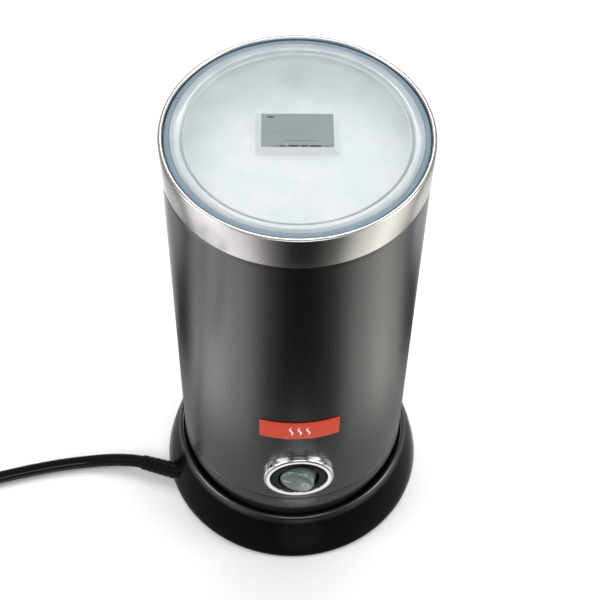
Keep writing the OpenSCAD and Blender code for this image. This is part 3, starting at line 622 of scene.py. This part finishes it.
# stations of the moulded plug: along, half width, low, high, squareness
plugStations = [
    (0.2, 3.5, -3.5, 3.5, 1), (0.5, 3.9, -3.9, 3.9, 1), (3.2, 4.3, -4.3, 4.3, 1),
    (3.5, 3.7, -3.7, 3.7, 1), (4.6, 3.8, -3.8, 3.8, 1), (4.9, 4.7, -4.7, 4.7, 1),
    (7.6, 5.0, -5.0, 5.0, 1), (7.9, 4.2, -4.2, 4.2, 1), (9.0, 4.3, -4.3, 4.3, 1),
    (9.3, 5.2, -5.2, 5.2, 1), (12, 5.4, -5.4, 5.4, 1), (12.3, 4.7, -4.7, 4.7, 1),
    (13.4, 4.8, -4.8, 4.8, 1), (13.7, 5.6, -5.6, 5.6, 1), (17, 6.1, -6.1, 6.0, 1),
    (20, 7.6, -7.8, 7.4, 0.85), (23, 9.8, -10.0, 8.8, 0.6), (26.5, 11.9, -12.0, 10.4, 0.45),
    (29, 12.4, -12.4, 11.6, 0.4), (33, 12.2, -12.3, 11.9, 0.4), (37.8, 12.4, -12.4, 12.1, 0.4),
    (39.6, 12.2, -12.2, 11.9, 0.4), (40, 11.7, -11.7, 11.4, 0.4),
]


def loft(name, stations, around=40):
    # rounded sections strung along +Z and capped at both ends
    work = bmesh.new()
    rings = []
    for along, wide, low, high, power in stations:
        centre = (low + high) / 2
        tall = (high - low) / 2
        ring = []
        for k in range(around):
            angle = 2 * math.pi * k / around
            x = math.copysign(abs(math.cos(angle)) ** power, math.cos(angle))
            y = math.copysign(abs(math.sin(angle)) ** power, math.sin(angle))
            ring.append(work.verts.new(Vector((wide * x, centre + tall * y, along)) * mm))
        rings.append(ring)
    for first, second in zip(rings, rings[1:]):
        bridge(work, first, second)
    work.faces.new(list(reversed(rings[0])))
    work.faces.new(rings[-1])
    return finishMesh(meshFrom(work, name), plugPlan["crisp"])


def makePlug(plan):
    angle = math.radians(plan["turn"])
    mesh = loft("plugBody", plugStations)
    mesh.transform(facing(plan["at"], Vector((math.cos(angle), math.sin(angle), 0))))
    return place("plugBody", finishMesh(mesh, plan["crisp"]), "base", "plug_body", finish=cordJacket)


cord = layCord(cordPlan)
relief = makeRelief(reliefPlan)
plug = makePlug(plugPlan)
print("cord laid")

# base

basePlan = {"radius": 57.5, "foot": 1.2, "crest": 25.4, "lip": 48.6, "crestRadius": 1.3,
            "crestWide": 2.23, "platform": 19, "wall": 2.2, "socket": 13.7}


def skirtRadius(plan, z):
    foot = plan["foot"] + 0.6
    t = (z - foot) / (plan["crest"] - foot)
    return plan["radius"] - (plan["radius"] - plan["lip"] - plan["crestWide"]) * t + 1.6 * t * (1 - t)


def makeBase(plan):
    foot = plan["foot"]
    shoulder = plan["crest"] - plan["crestRadius"]
    outline = [(plan["radius"] - plan["wall"], foot), (plan["radius"] - 0.7, foot),
               (plan["radius"] - 0.2, foot + 0.25)]
    outline += [(skirtRadius(plan, z), z)
                for z in (foot + 0.6 + (shoulder - foot - 0.6) * i / 24 for i in range(25))]
    middle = plan["lip"] + plan["crestRadius"]
    for i in range(15):
        angle = math.radians(20 + 145 * i / 14)
        outline.append((middle + plan["crestRadius"] * math.cos(angle),
                        shoulder + plan["crestRadius"] * math.sin(angle)))
    recess = plan["lip"] - 1.1
    top = plan["platform"]
    outline += rounded([(recess, shoulder - 1.6, 0.6), (recess, top, 0.8), (plan["socket"], top, 0.4),
                        (plan["socket"], top - 2, 0), (recess + 1.8, top - 2, 0),
                        (recess + 1.8, top + 0.5, 0),
                        (skirtRadius(plan, top + 0.5) - plan["wall"], top + 0.5, 0),
                        (skirtRadius(plan, 10) - plan["wall"], 10, 0)])
    mesh = turned("baseCover", outline, basePlastic, 256, sharp=50)
    return place("baseCover", mesh, "base", "base_cover")


makeBase(basePlan)
print("base made")

# jug

jugPlan = {"radius": 48.65, "wall": 1.8, "low": 38.9, "high": 201.8, "window": 12.7, "windowZ": 60.5,
           "patch": 17, "patchCells": 12, "edge": 0.25}


def makeShell(plan):
    # a round wall whose rows and columns open out round the switch's window
    work = bmesh.new()
    radius = plan["radius"]
    half = plan["patch"] / radius
    cells = plan["patchCells"]
    angles = [-half + 2 * half * i / cells for i in range(cells)]
    rest = 128
    angles += [half + (2 * math.pi - 2 * half) * i / rest for i in range(rest)]
    zPatch = [plan["windowZ"] - plan["patch"] + 2 * plan["patch"] * i / cells for i in range(cells + 1)]
    rows = [plan["low"] + (zPatch[0] - plan["low"]) * i / 4 for i in range(4)] + zPatch
    rows += [zPatch[-1] + (plan["high"] - zPatch[-1]) * i / 40 for i in range(1, 41)]

    def spot(angle, z):
        return work.verts.new(Vector((radius * math.sin(angle), -radius * math.cos(angle), z)) * mm)

    def inPatch(column, row, edge):
        return edge <= column <= cells - edge and 4 + edge <= row <= 4 + cells - edge

    grid = {}
    for i, angle in enumerate(angles):
        for j, z in enumerate(rows):
            if not inPatch(i, j, 1):
                grid[i, j] = spot(angle, z)
    for i in range(len(angles)):
        after = (i + 1) % len(angles)
        for j in range(len(rows) - 1):
            if i < cells and 4 <= j < 4 + cells:
                continue
            work.faces.new((grid[i, j], grid[after, j], grid[after, j + 1], grid[i, j + 1]))
    border = [(i, 4) for i in range(cells)] + [(cells, 4 + j) for j in range(cells)]
    border += [(cells - i, 4 + cells) for i in range(cells)] + [(0, 4 + cells - j) for j in range(cells)]
    rings = [[grid[key] for key in border]]
    steps = 4
    for step in range(1, steps + 1):
        share = step / steps
        ring = []
        for key in border:
            x = radius * math.sin(angles[key[0]])
            z = rows[key[1]]
            turn = math.atan2(z - plan["windowZ"], x)
            holeX = plan["window"] * math.cos(turn)
            holeZ = plan["windowZ"] + plan["window"] * math.sin(turn)
            ring.append(spot(math.asin((x + (holeX - x) * share) / radius), z + (holeZ - z) * share))
        rings.append(ring)
    for outer, inner in zip(rings, rings[1:]):
        bridge(work, outer, inner)
    mesh = meshFrom(work, "jugShell")
    return place("jugShell", mesh, "jug", "outer_shell", finish=shellPaint,
                 modifiers=wallAndEdge(plan["wall"], plan["edge"]))


makeShell(jugPlan)

bandPlan = {"outer": 49, "low": 202, "top": 216.5, "lip": 47.35, "ledge": 211.9, "spigot": 46.65}


def makeBand(plan):
    lip, ledge, spigot = plan["lip"], plan["ledge"], plan["spigot"]
    outline = rounded([
        (spigot - 1, plan["low"] - 5, 0.2), (spigot, plan["low"] - 5, 0.2), (spigot, plan["low"], 0),
        (plan["outer"], plan["low"], 0.25), (plan["outer"], plan["top"], 0.6), (lip, plan["top"], 0.5),
        (lip, ledge, 0.1), (lip - 1.4, ledge, 0.1), (lip - 1.4, ledge - 1.4, 0.2),
        (lip, ledge - 3, 0.2), (lip, plan["low"] + 1.4, 0.2), (spigot - 1, plan["low"] + 0.4, 0.2)])
    return place("rimBand", turned("rimBand", outline, bandSteel, 256), "jug", "steel_band")


makeBand(bandPlan)

cupPlan = {"radius": 41.6, "wall": 0.9, "floor": 100, "corner": 8, "flange": 47.25, "flangeZ": 213.5,
           "post": 2.5, "postTop": 113}


def makeCup(plan):
    floor, wall, flangeZ = plan["floor"], plan["wall"], plan["flangeZ"]
    outline = [(0, plan["postTop"])]
    outline += rounded([
        (0, plan["postTop"], 0), (plan["post"], plan["postTop"], 0.8), (plan["post"], floor + 1.2, 0.4),
        (5, floor + 1.2, 0.4), (5, floor, 0.4), (plan["radius"], floor, plan["corner"]),
        (plan["radius"], flangeZ, 1.2), (plan["flange"], flangeZ, 0.3),
        (plan["flange"], flangeZ - wall, 0.3), (plan["radius"] + wall, flangeZ - wall, 0.3),
        (plan["radius"] + wall, floor - wall, plan["corner"] + wall), (0, floor - wall, 0)], 8)[1:]
    mesh = turned("steelCup", outline, cupSteel, 192, shut=False)
    return place("steelCup", mesh, "jug", "inner_cup")


makeCup(cupPlan)

lowerPlan = {"radius": 48.65, "low": 29.5, "seam": 38.5, "neck": 46.2, "neckTop": 34.9, "spigot": 46.7}


def makeLowerRing(plan):
    outline = rounded([
        (plan["neck"], plan["low"], 0.3), (plan["radius"], plan["low"], 1.1),
        (plan["radius"], plan["seam"], 0.25), (plan["spigot"], plan["seam"], 0),
        (plan["spigot"], plan["seam"] + 4.5, 0.3), (plan["spigot"] - 1.8, plan["seam"] + 4.5, 0.3),
        (plan["spigot"] - 1.8, plan["neckTop"], 0), (plan["neck"], plan["neckTop"], 0)])
    return place("lowerRing", turned("lowerRing", outline, shellPaint, 256), "jug", "lower_ring")


makeLowerRing(lowerPlan)
print("jug made")

# switch and badge

switchPlan = {"z": 60.5, "outer": 14.7, "inner": 12.1, "face": 50.9, "roll": 0.8, "shell": 48.67,
              "dish": 50.7, "pocket": 8.5, "rocker": 7.2, "rockerFace": 53.3, "pivot": 48.8,
              "tilt": 16, "bore": 0.85, "back": 40.5, "seat": 45.6, "sleeve": 0.5, "dishBack": 43}
switchTurn = Matrix.Translation(Vector((0, 0, switchPlan["z"] * mm))) @ Matrix.Rotation(math.pi / 2, 4, "X")


def makeSwitchRing(plan):
    inner, outer, face = plan["inner"], plan["outer"], plan["face"]
    outline = rounded([
        (inner, plan["back"], 0), (inner + plan["sleeve"], plan["back"], 0),
        (inner + plan["sleeve"], plan["seat"], 0), (outer, plan["seat"], 0),
        (outer, face, plan["roll"]), (inner, face, 0.35)], 8)
    mesh = turned("switchRing", outline, ringChrome, 160)
    mesh.transform(switchTurn)
    for vertex in mesh.vertices:  # the back edge follows the round shell
        wide = vertex.co.x
        deep = -math.sqrt((plan["shell"] * mm) ** 2 - wide ** 2)
        off = math.hypot(wide, vertex.co.z - plan["z"] * mm)
        if off > (inner + 0.8) * mm and vertex.co.y > deep:
            vertex.co.y = deep
    return place("switchRing", finishMesh(mesh), "jug", "switch_ring")


def makeSwitchDish(plan):
    edge = plan["inner"] - 0.1
    outline = rounded([
        (edge, plan["dishBack"], 0), (edge, plan["dish"], 0.25), (plan["pocket"], plan["dish"], 0.6),
        (plan["pocket"], plan["dishBack"], 0)])
    mesh = turned("switchDish", outline, dishPlastic, 128)
    mesh.transform(switchTurn)
    return place("switchDish", finishMesh(mesh), "jug", "switch_dish")


def rockerTurn(plan):
    pivot = Vector((0, -plan["pivot"] * mm, 0))
    tilt = Matrix.Rotation(-math.radians(plan["tilt"]), 4, "Z")
    return Matrix.Translation(pivot) @ tilt @ Matrix.Translation(-pivot)


def makeRocker(plan):
    back = plan["pivot"] - 3
    outline = rounded([(0, back, 0), (plan["rocker"], back, 0.6),
                       (plan["rocker"], plan["rockerFace"] - 0.35, 1.1),
                       (4.5, plan["rockerFace"] - 0.06, 2), (0, plan["rockerFace"], 0)], 8)
    mesh = turned("rockerDisc", outline, rockerPlastic, 96, shut=False)
    mesh.transform(rockerTurn(plan) @ switchTurn)
    work = bmesh.new()
    spot = Matrix.Translation(Vector((0, -plan["pivot"], plan["z"])) * mm)
    bmesh.ops.create_cone(work, cap_ends=True, segments=40, radius1=plan["bore"] * mm,
                          radius2=plan["bore"] * mm, depth=60 * mm, matrix=spot)
    mesh = combined(finishMesh(mesh), "DIFFERENCE", meshFrom(work, "pinBore"))
    return place("rockerDisc", finishMesh(mesh), "rocker", "rocker")


markPlan = {"ringRadius": 1.35, "ringAt": 4.0, "barAt": -3.7, "barWide": 3.2, "line": 0.24, "proud": 0.07}


def makeMarks(plan, switch):
    face = switch["rockerFace"] - 0.05
    loop = turned("rockerMarks", [
        (plan["ringRadius"] - plan["line"], face - 0.2), (plan["ringRadius"] + plan["line"], face - 0.2),
        (plan["ringRadius"] + plan["line"], face + plan["proud"]),
        (plan["ringRadius"] - plan["line"], face + plan["proud"])], markWhite, 40)
    loop.transform(Matrix.Translation(Vector((plan["ringAt"] * mm, 0, 0))))
    work = bmesh.new()
    work.from_mesh(loop)
    size = Matrix.Diagonal((plan["barWide"] * mm, 2 * plan["line"] * mm, (plan["proud"] + 0.2) * mm, 1))
    spot = Matrix.Translation(Vector((plan["barAt"], 0, face + (plan["proud"] - 0.2) / 2)) * mm)
    bmesh.ops.create_cube(work, size=1, matrix=spot @ size)
    work.to_mesh(loop)
    work.free()
    loop.transform(rockerTurn(switch) @ switchTurn)
    return place("rockerMarks", finishMesh(loop), "rocker")


makeSwitchRing(switchPlan)
makeSwitchDish(switchPlan)
makeRocker(switchPlan)
makeMarks(markPlan, switchPlan)

badgePlan = {"half": 19.2, "low": 89.6, "high": 101.4, "radius": 48.67, "thick": 0.45, "waves": 3,
             "waveGap": 3.4, "waveTall": 5.4, "waveSwing": 0.55, "waveWide": 0.42, "waveThick": 0.14,
             "edge": 0.18}


def wrap(x, z, radius):
    # a level distance from the middle of the front becomes a place round the shell
    angle = x / radius
    return Vector((radius * math.sin(angle), -radius * math.cos(angle), z)) * mm


def makeBadge(plan):
    columns, rows = 36, 6
    wide = math.radians(plan["half"]) * plan["radius"]
    work = bmesh.new()
    outer = plan["radius"] + plan["thick"]
    grid = [[work.verts.new(wrap(-wide + 2 * wide * i / columns,
                                 plan["low"] + (plan["high"] - plan["low"]) * j / rows, outer))
             for j in range(rows + 1)] for i in range(columns + 1)]
    for i in range(columns):
        for j in range(rows):
            work.faces.new((grid[i][j], grid[i + 1][j], grid[i + 1][j + 1], grid[i][j + 1]))
    mesh = meshFrom(work, "frontBadge")
    place("frontBadge", mesh, "jug", "front_badge", finish=badgeEnamel,
          modifiers=wallAndEdge(plan["thick"], plan["edge"]))


def makeWaves(plan):
    # a plain sign of rising steam in the middle of the badge
    work = bmesh.new()
    radius = plan["radius"] + plan["thick"] + 0.1
    middle = (plan["low"] + plan["high"]) / 2
    steps = 20
    for n in range(plan["waves"]):
        centre = (n - (plan["waves"] - 1) / 2) * plan["waveGap"]
        rails = []
        for k in range(steps + 1):
            share = k / steps
            z = middle + (share - 0.5) * plan["waveTall"]
            x = centre + plan["waveSwing"] * math.sin(2 * math.pi * share)
            half = plan["waveWide"] * (0.35 + 0.65 * math.sin(math.pi * min(max(share, 0.04), 0.96)))
            rails.append([work.verts.new(wrap(x + side * half, z, radius)) for side in (-1, 1)])
        for first, second in zip(rails, rails[1:]):
            work.faces.new((first[0], first[1], second[1], second[0]))
    place("badgeWaves", meshFrom(work, "badgeWaves"), "jug", finish=badgeWhite,
          modifiers=wallAndEdge(plan["waveThick"]))


makeBadge(badgePlan)
makeWaves(badgePlan)
print("switch and badge made")

# lid

lidPlan = {"radius": 45, "top": 216, "plate": 215.2, "thick": 2.2, "step": 41.6, "skirt": 41.2,
           "skirtLow": 208.2, "under": 214.2, "gripWide": 29.4, "gripDeep": 19.8, "gripHigh": 2.2,
           "slope": 2, "turn": -2.5, "sealOuter": 47.05, "sealInner": 43.4, "sealLow": 213.6,
           "sealTop": 215.8}


def gripBlock(plan):
    wide, deep, slope = plan["gripWide"] / 2, plan["gripDeep"] / 2, plan["slope"]
    levels = [(plan["plate"] - 0.6, 0), (plan["plate"], 0), (plan["plate"] + plan["gripHigh"], slope)]
    work = bmesh.new()
    rings = []
    for z, inset in levels:
        rings.append([work.verts.new(Vector((sx * (wide - inset), sy * (deep - inset), z)) * mm)
                      for sx, sy in ((-1, -1), (1, -1), (1, 1), (-1, 1))])
    for first, second in zip(rings, rings[1:]):
        bridge(work, first, second)
    work.faces.new(list(reversed(rings[0])))
    work.faces.new(rings[-1])
    rims = [edge for edge in work.edges if edge.calc_face_angle(0) > 0.5 and
            min(v.co.z for v in edge.verts) > (plan["plate"] - 0.3) * mm]
    bmesh.ops.bevel(work, geom=rims, offset=0.4 * mm, segments=3, profile=0.5, affect="EDGES")
    mesh = meshFrom(work, "gripBlock")
    mesh.transform(Matrix.Rotation(math.radians(plan["turn"]), 4, "Z"))
    return mesh


def makeLid(plan):
    skirt = plan["skirt"]
    outline = rounded([
        (0, plan["plate"] - plan["thick"], 0), (skirt - 4, plan["plate"] - plan["thick"], 0),
        (skirt - 1.8, plan["plate"] - plan["thick"], 0.6),
        (skirt - 1.6, plan["skirtLow"], 0.4), (skirt, plan["skirtLow"], 0.4), (skirt, plan["under"], 0.5),
        (plan["radius"], plan["under"], 0.1), (plan["radius"], plan["top"], 0.4),
        (plan["step"], plan["top"], 0.5), (plan["step"] - 1.2, plan["plate"], 0.6),
        (plan["step"] - 2.4, plan["plate"], 0), (0, plan["plate"], 0)], 5)
    mesh = turned("clearLid", outline, lidPlastic, 224, shut=False)
    mesh = combined(mesh, "UNION", gripBlock(plan))
    paint(mesh, lidPlastic, gripTint, gripFrost)
    finishMesh(mesh, 30)
    face = (plan["plate"] + plan["gripHigh"] - 0.05) * mm
    reach = plan["gripWide"] * 0.62 * mm
    for polygon in mesh.polygons:
        middle = polygon.center
        onGrip = middle.z > (plan["plate"] + 0.05) * mm and middle.xy.length < reach
        tinted = middle.z > face and polygon.normal.z > 0.99
        polygon.material_index = 1 if tinted else 2 if onGrip else 0
    place("clearLid", mesh, "lid", "lid")


def makeSeal(plan):
    top = plan["sealTop"]
    play = 0.05
    outline = rounded([
        (plan["sealInner"], plan["sealLow"], 0.1), (plan["sealOuter"], plan["sealLow"], 0.4),
        (plan["sealOuter"], top - 0.25, 0.45), (plan["radius"] + play, top - play, 0.2),
        (plan["radius"] + play, plan["under"] - play, 0), (plan["sealInner"], plan["under"] - play, 0)])
    place("sealRing", turned("sealRing", outline, sealSilicone, 224), "lid", "lid_seal")


makeLid(lidPlan)
makeSeal(lidPlan)
print("lid made")

# whisk and screws


def makeSpring():
    start = bpy.data.meshes.new("springStart")
    mesh = grow("frothSpring", start, springTree, springKeys, {"Finish": springSteel})
    place("frothSpring", finishMesh(mesh), "whisk", "whisk_coil")


screwPlans = [
    {"name": "baseScrews", "node": "base_screws", "count": 3, "at": 34, "start": 30, "z": 2.3,
     "head": 2.8, "shank": 1.25, "long": 9, "over": 0, "body": "base"},
    {"name": "bottomScrews", "node": "bottom_screws", "count": 4, "at": 40.3, "start": 45, "z": 20.4,
     "head": 2.8, "shank": 1.25, "long": 12, "over": 0, "body": "jug"},
    {"name": "boardScrews", "node": "board_screws", "count": 3, "at": 30, "start": 60, "z": 45.7,
     "head": 2.4, "shank": 1.25, "long": 8, "over": math.pi, "body": "jug"},
    {"name": "motorScrews", "node": "motor_screws", "count": 2, "at": 8.5, "start": 0, "z": 85.1,
     "head": 1.9, "shank": 0.85, "long": 3.9, "over": math.pi, "body": "jug"},
]


def makeScrews(plan):
    spots = []
    for i in range(plan["count"]):
        angle = math.radians(plan["start"] + 360 * i / plan["count"])
        spots.append(Vector((plan["at"] * math.cos(angle), plan["at"] * math.sin(angle), plan["z"])) * mm)
    start = bpy.data.meshes.new(plan["name"] + "Spots")
    start.from_pydata(spots, [], [])
    mesh = grow(plan["name"], start, screwTree, screwKeys, {
        "Head Radius": plan["head"] * mm, "Shank Radius": plan["shank"] * mm,
        "Shank Length": plan["long"] * mm, "Tip Over": float(plan["over"]), "Finish": zincSteel})
    place(plan["name"], finishMesh(mesh), plan["body"], plan["node"])


makeSpring()
for screwPlan in screwPlans:
    makeScrews(screwPlan)
print("whisk and screws made")

# finishes of the nodes that keep their CAD shape

nodeFinishes = [
    (innerBlack, "base_plate jug_bottom switch_body whisk_hub"),
    (footRubber, "rubber_feet"),
    (insulator, "socket_housing cord_clamp connector_half thermostat motor_cap magnet_carrier"),
    (contactBrass, "socket_contacts plug_blades connector_contacts motor_bushes switch_terminals"),
    (zincSteel, "clamp_screws thermal_fuse motor_can motor_shaft"),
    (leadJacket, "base_leads wiring"),
    (gasketSilicone, "rim_gasket"),
    (castMetal, "heater_plate heater_element"),
    (innerGrey, "chassis"),
    (magnetGrey, "field_magnets drive_magnets whisk_magnets"),
    (boardGreen, "circuit_board"),
    (boardParts, "board_parts"),
    (dishPlastic, "rocker_pin"),
    (copperWinding, "armature"),
]
for nodeFinish, nodeNames in nodeFinishes:
    for nodeName in nodeNames.split():
        paint(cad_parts[nodeName].data, nodeFinish)
print("nodes painted")

# stage: floor, lights and a studio card that only reflections see


def makeFloor(reach):
    mesh = bpy.data.meshes.new("studioFloor")
    mesh.from_pydata([(-reach, -reach, 0), (reach, -reach, 0), (reach, reach, 0), (-reach, reach, 0)],
                     [], [(0, 1, 2, 3)])
    mesh.materials.append(grainFinish("floorPaper", (0.90, 0.90, 0.90), (0.93, 0.93, 0.93), 0.7, 0.8,
                                      size=400, drift=3, depth=None, Specular_IOR_Level=0.1))
    addObject("studioFloor", mesh)


# glow of the card by direction round the jug, in degrees from the front, towards the right
cardBands = [(-180, (2.4, 2.4, 2.4)), (-150, (2.2, 2.2, 2.2)), (-134, (0.80, 0.80, 0.80)),
             (-119, (0.02, 0.02, 0.02)), (-104, (0.04, 0.04, 0.04)), (-88, (1.15, 1.14, 1.17)),
             (-68, (1.55, 1.52, 1.59)), (-46, (1.05, 1.03, 1.08)), (-20, (0.14, 0.13, 0.15)),
             (-8, (0.0, 0.0, 0.0)), (8, (0.0, 0.0, 0.0)), (26, (0.10, 0.10, 0.095)),
             (50, (0.95, 0.93, 0.89)), (70, (1.48, 1.45, 1.38)), (88, (0.90, 0.88, 0.84)),
             (104, (0.12, 0.12, 0.11)), (120, (0.04, 0.04, 0.04)), (146, (1.7, 1.7, 1.69)),
             (180, (2.4, 2.4, 2.4))]
cardPlan = {"inner": 0.060, "outer": 1.6, "lift": 0.0004, "sides": 96}
cardSpots = [
    {"color": (0.40, 0.40, 0.39), "middle": (0, 0, 0), "full": 0.080, "none": 0.118},
    {"color": (1.0, 1.0, 0.98), "middle": (0.003, -0.083, 0), "full": 0.014, "none": 0.021},
    {"color": (0.66, 0.66, 0.67), "middle": (-0.185, 0.095, 0), "full": 0.030, "none": 0.065},
    {"color": (0.95, 0.95, 0.93), "middle": (0.185, 0.095, 0), "full": 0.030, "none": 0.065},
]


def glowSpot(tree, under, spot):
    # a soft round patch of one colour over the colour below it
    far = vectorNode(tree, "DISTANCE", objectPlace(tree), spot["middle"]).outputs["Value"]
    near = mapRange(tree, far, spot["full"], spot["none"], 1, 0)
    return mixColour(tree, near, under, (*spot["color"], 1))


def newGlow(name):
    # a material that only shines, with its tree and the sockets of its glow
    finish = bpy.data.materials.new(name)
    finish.use_nodes = True
    tree = finish.node_tree
    tree.nodes.remove(tree.nodes["Principled BSDF"])
    glow = addNode(tree, "ShaderNodeEmission")
    wire(tree, glow.outputs[0], tree.nodes["Material Output"].inputs["Surface"])
    return finish, tree, glow.inputs


def hangCard(name, mesh, finish, spot=(0, 0, 0)):
    # only reflections see it
    mesh.materials.append(finish)
    card = addObject(name, mesh)
    card.location = spot
    for rays in ("camera", "diffuse", "shadow", "transmission"):
        setattr(card, "visible_" + rays, False)


def makeCard(plan, bands, spots):
    work = bmesh.new()
    count = plan["sides"]
    angles = [2 * math.pi * k / count for k in range(count)]
    rings = [[work.verts.new((r * math.sin(a), r * math.cos(a), plan["lift"])) for a in angles]
             for r in (plan["inner"], plan["outer"])]
    bridge(work, *rings)
    finish, tree, glow = newGlow("cardGlow")
    parts = separateXYZ(tree, objectPlace(tree))
    around = mathNode(tree, "ARCTAN2", parts["X"], times(tree, parts["Y"], -1.0))
    share = mathNode(tree, "ADD", mathNode(tree, "DIVIDE", around, 2 * math.pi), 0.5)
    ramp = addNode(tree, "ShaderNodeValToRGB", inputs={"Fac": share})
    ramp.color_ramp.interpolation = "EASE"
    points = ramp.color_ramp.elements
    while len(points) > 1:
        points.remove(points[-1])
    points[0].position = 0
    points[0].color = (*bands[0][1], 1)
    for at, colour in bands[1:]:
        points.new((at + 180) / 360).color = (*colour, 1)
    colour = ramp.outputs["Color"]
    for spot in spots:
        colour = glowSpot(tree, colour, spot)
    wire(tree, colour, glow["Color"])
    hangCard("studioCard", meshFrom(work, "studioCard"), finish)


def makeOverheadCard(plan):
    # a round glow high behind the jug, mirrored in the front of the lid
    work = bmesh.new()
    bmesh.ops.create_circle(work, cap_ends=True, segments=64, radius=plan["radius"] * plan["margin"])
    bmesh.ops.reverse_faces(work, faces=work.faces[:])
    finish, tree, glow = newGlow("overheadGlow")
    spot = objectPlace(tree)
    far = vectorNode(tree, "LENGTH", spot).outputs["Value"]
    cloud = addNode(tree, "ShaderNodeTexNoise", inputs={"Scale": plan["cloud"], "Detail": 5, "Vector": spot})
    ragged = times(tree, mathNode(tree, "SUBTRACT", cloud.outputs["Fac"], 0.5), plan["ragged"])
    edge = mapRange(tree, mathNode(tree, "ADD", far, ragged), plan["radius"] * plan["full"],
                    plan["radius"] * plan["none"], plan["glow"], 0)
    wire(tree, edge, glow["Strength"])
    wire(tree, (1.0, 0.995, 0.985, 1), glow["Color"])
    hangCard("overheadCard", meshFrom(work, "overheadCard"), finish, plan["place"])


overheadPlan = {"place": (0.055, 0.785, 1.15), "radius": 0.165, "margin": 1.35, "full": 0.66, "none": 1.12,
                "glow": 7.6, "cloud": 14, "ragged": 0.10}

lampPlans = [
    {"name": "overheadBox", "place": (0.06, 0.60, 1.25), "aim": (0, 0, 0.2), "size": (1.2, 0.9), "power": 13,
     "soft": True},
    {"name": "leftBox", "place": (-1.1, -0.3, 0.8), "aim": (0, 0, 0.1), "size": (0.6, 1.0), "power": 8},
    {"name": "rightBox", "place": (1.1, -0.25, 0.8), "aim": (0, 0, 0.1), "size": (0.6, 1.0), "power": 9},
    {"name": "frontFill", "place": (0.1, -1.2, 1.2), "aim": (0, 0, 0.1), "size": (0.9, 0.5), "power": 5},
]


def makeLamp(plan):
    data = bpy.data.lights.new(plan["name"], "AREA")
    data.shape = "RECTANGLE"
    data.size, data.size_y = plan["size"]
    data.energy = plan["power"]
    lamp = addObject(plan["name"], data)
    lamp.visible_glossy = not plan.get("soft", False)
    spot = Vector(plan["place"])
    lamp.location = spot
    lamp.rotation_euler = (Vector(plan["aim"]) - spot).to_track_quat("-Z", "Y").to_euler()


makeFloor(4.0)
makeCard(cardPlan, cardBands, cardSpots)
makeOverheadCard(overheadPlan)
for lampPlan in lampPlans:
    makeLamp(lampPlan)
world = bpy.data.worlds.new("studioAir")
world.use_nodes = True
air = world.node_tree.nodes["Background"].inputs
air["Color"].default_value = (0.95, 0.97, 1.0, 1)
air["Strength"].default_value = 0.42
scene.world = world
scene.view_settings.view_transform = "Standard"
print("stage set")
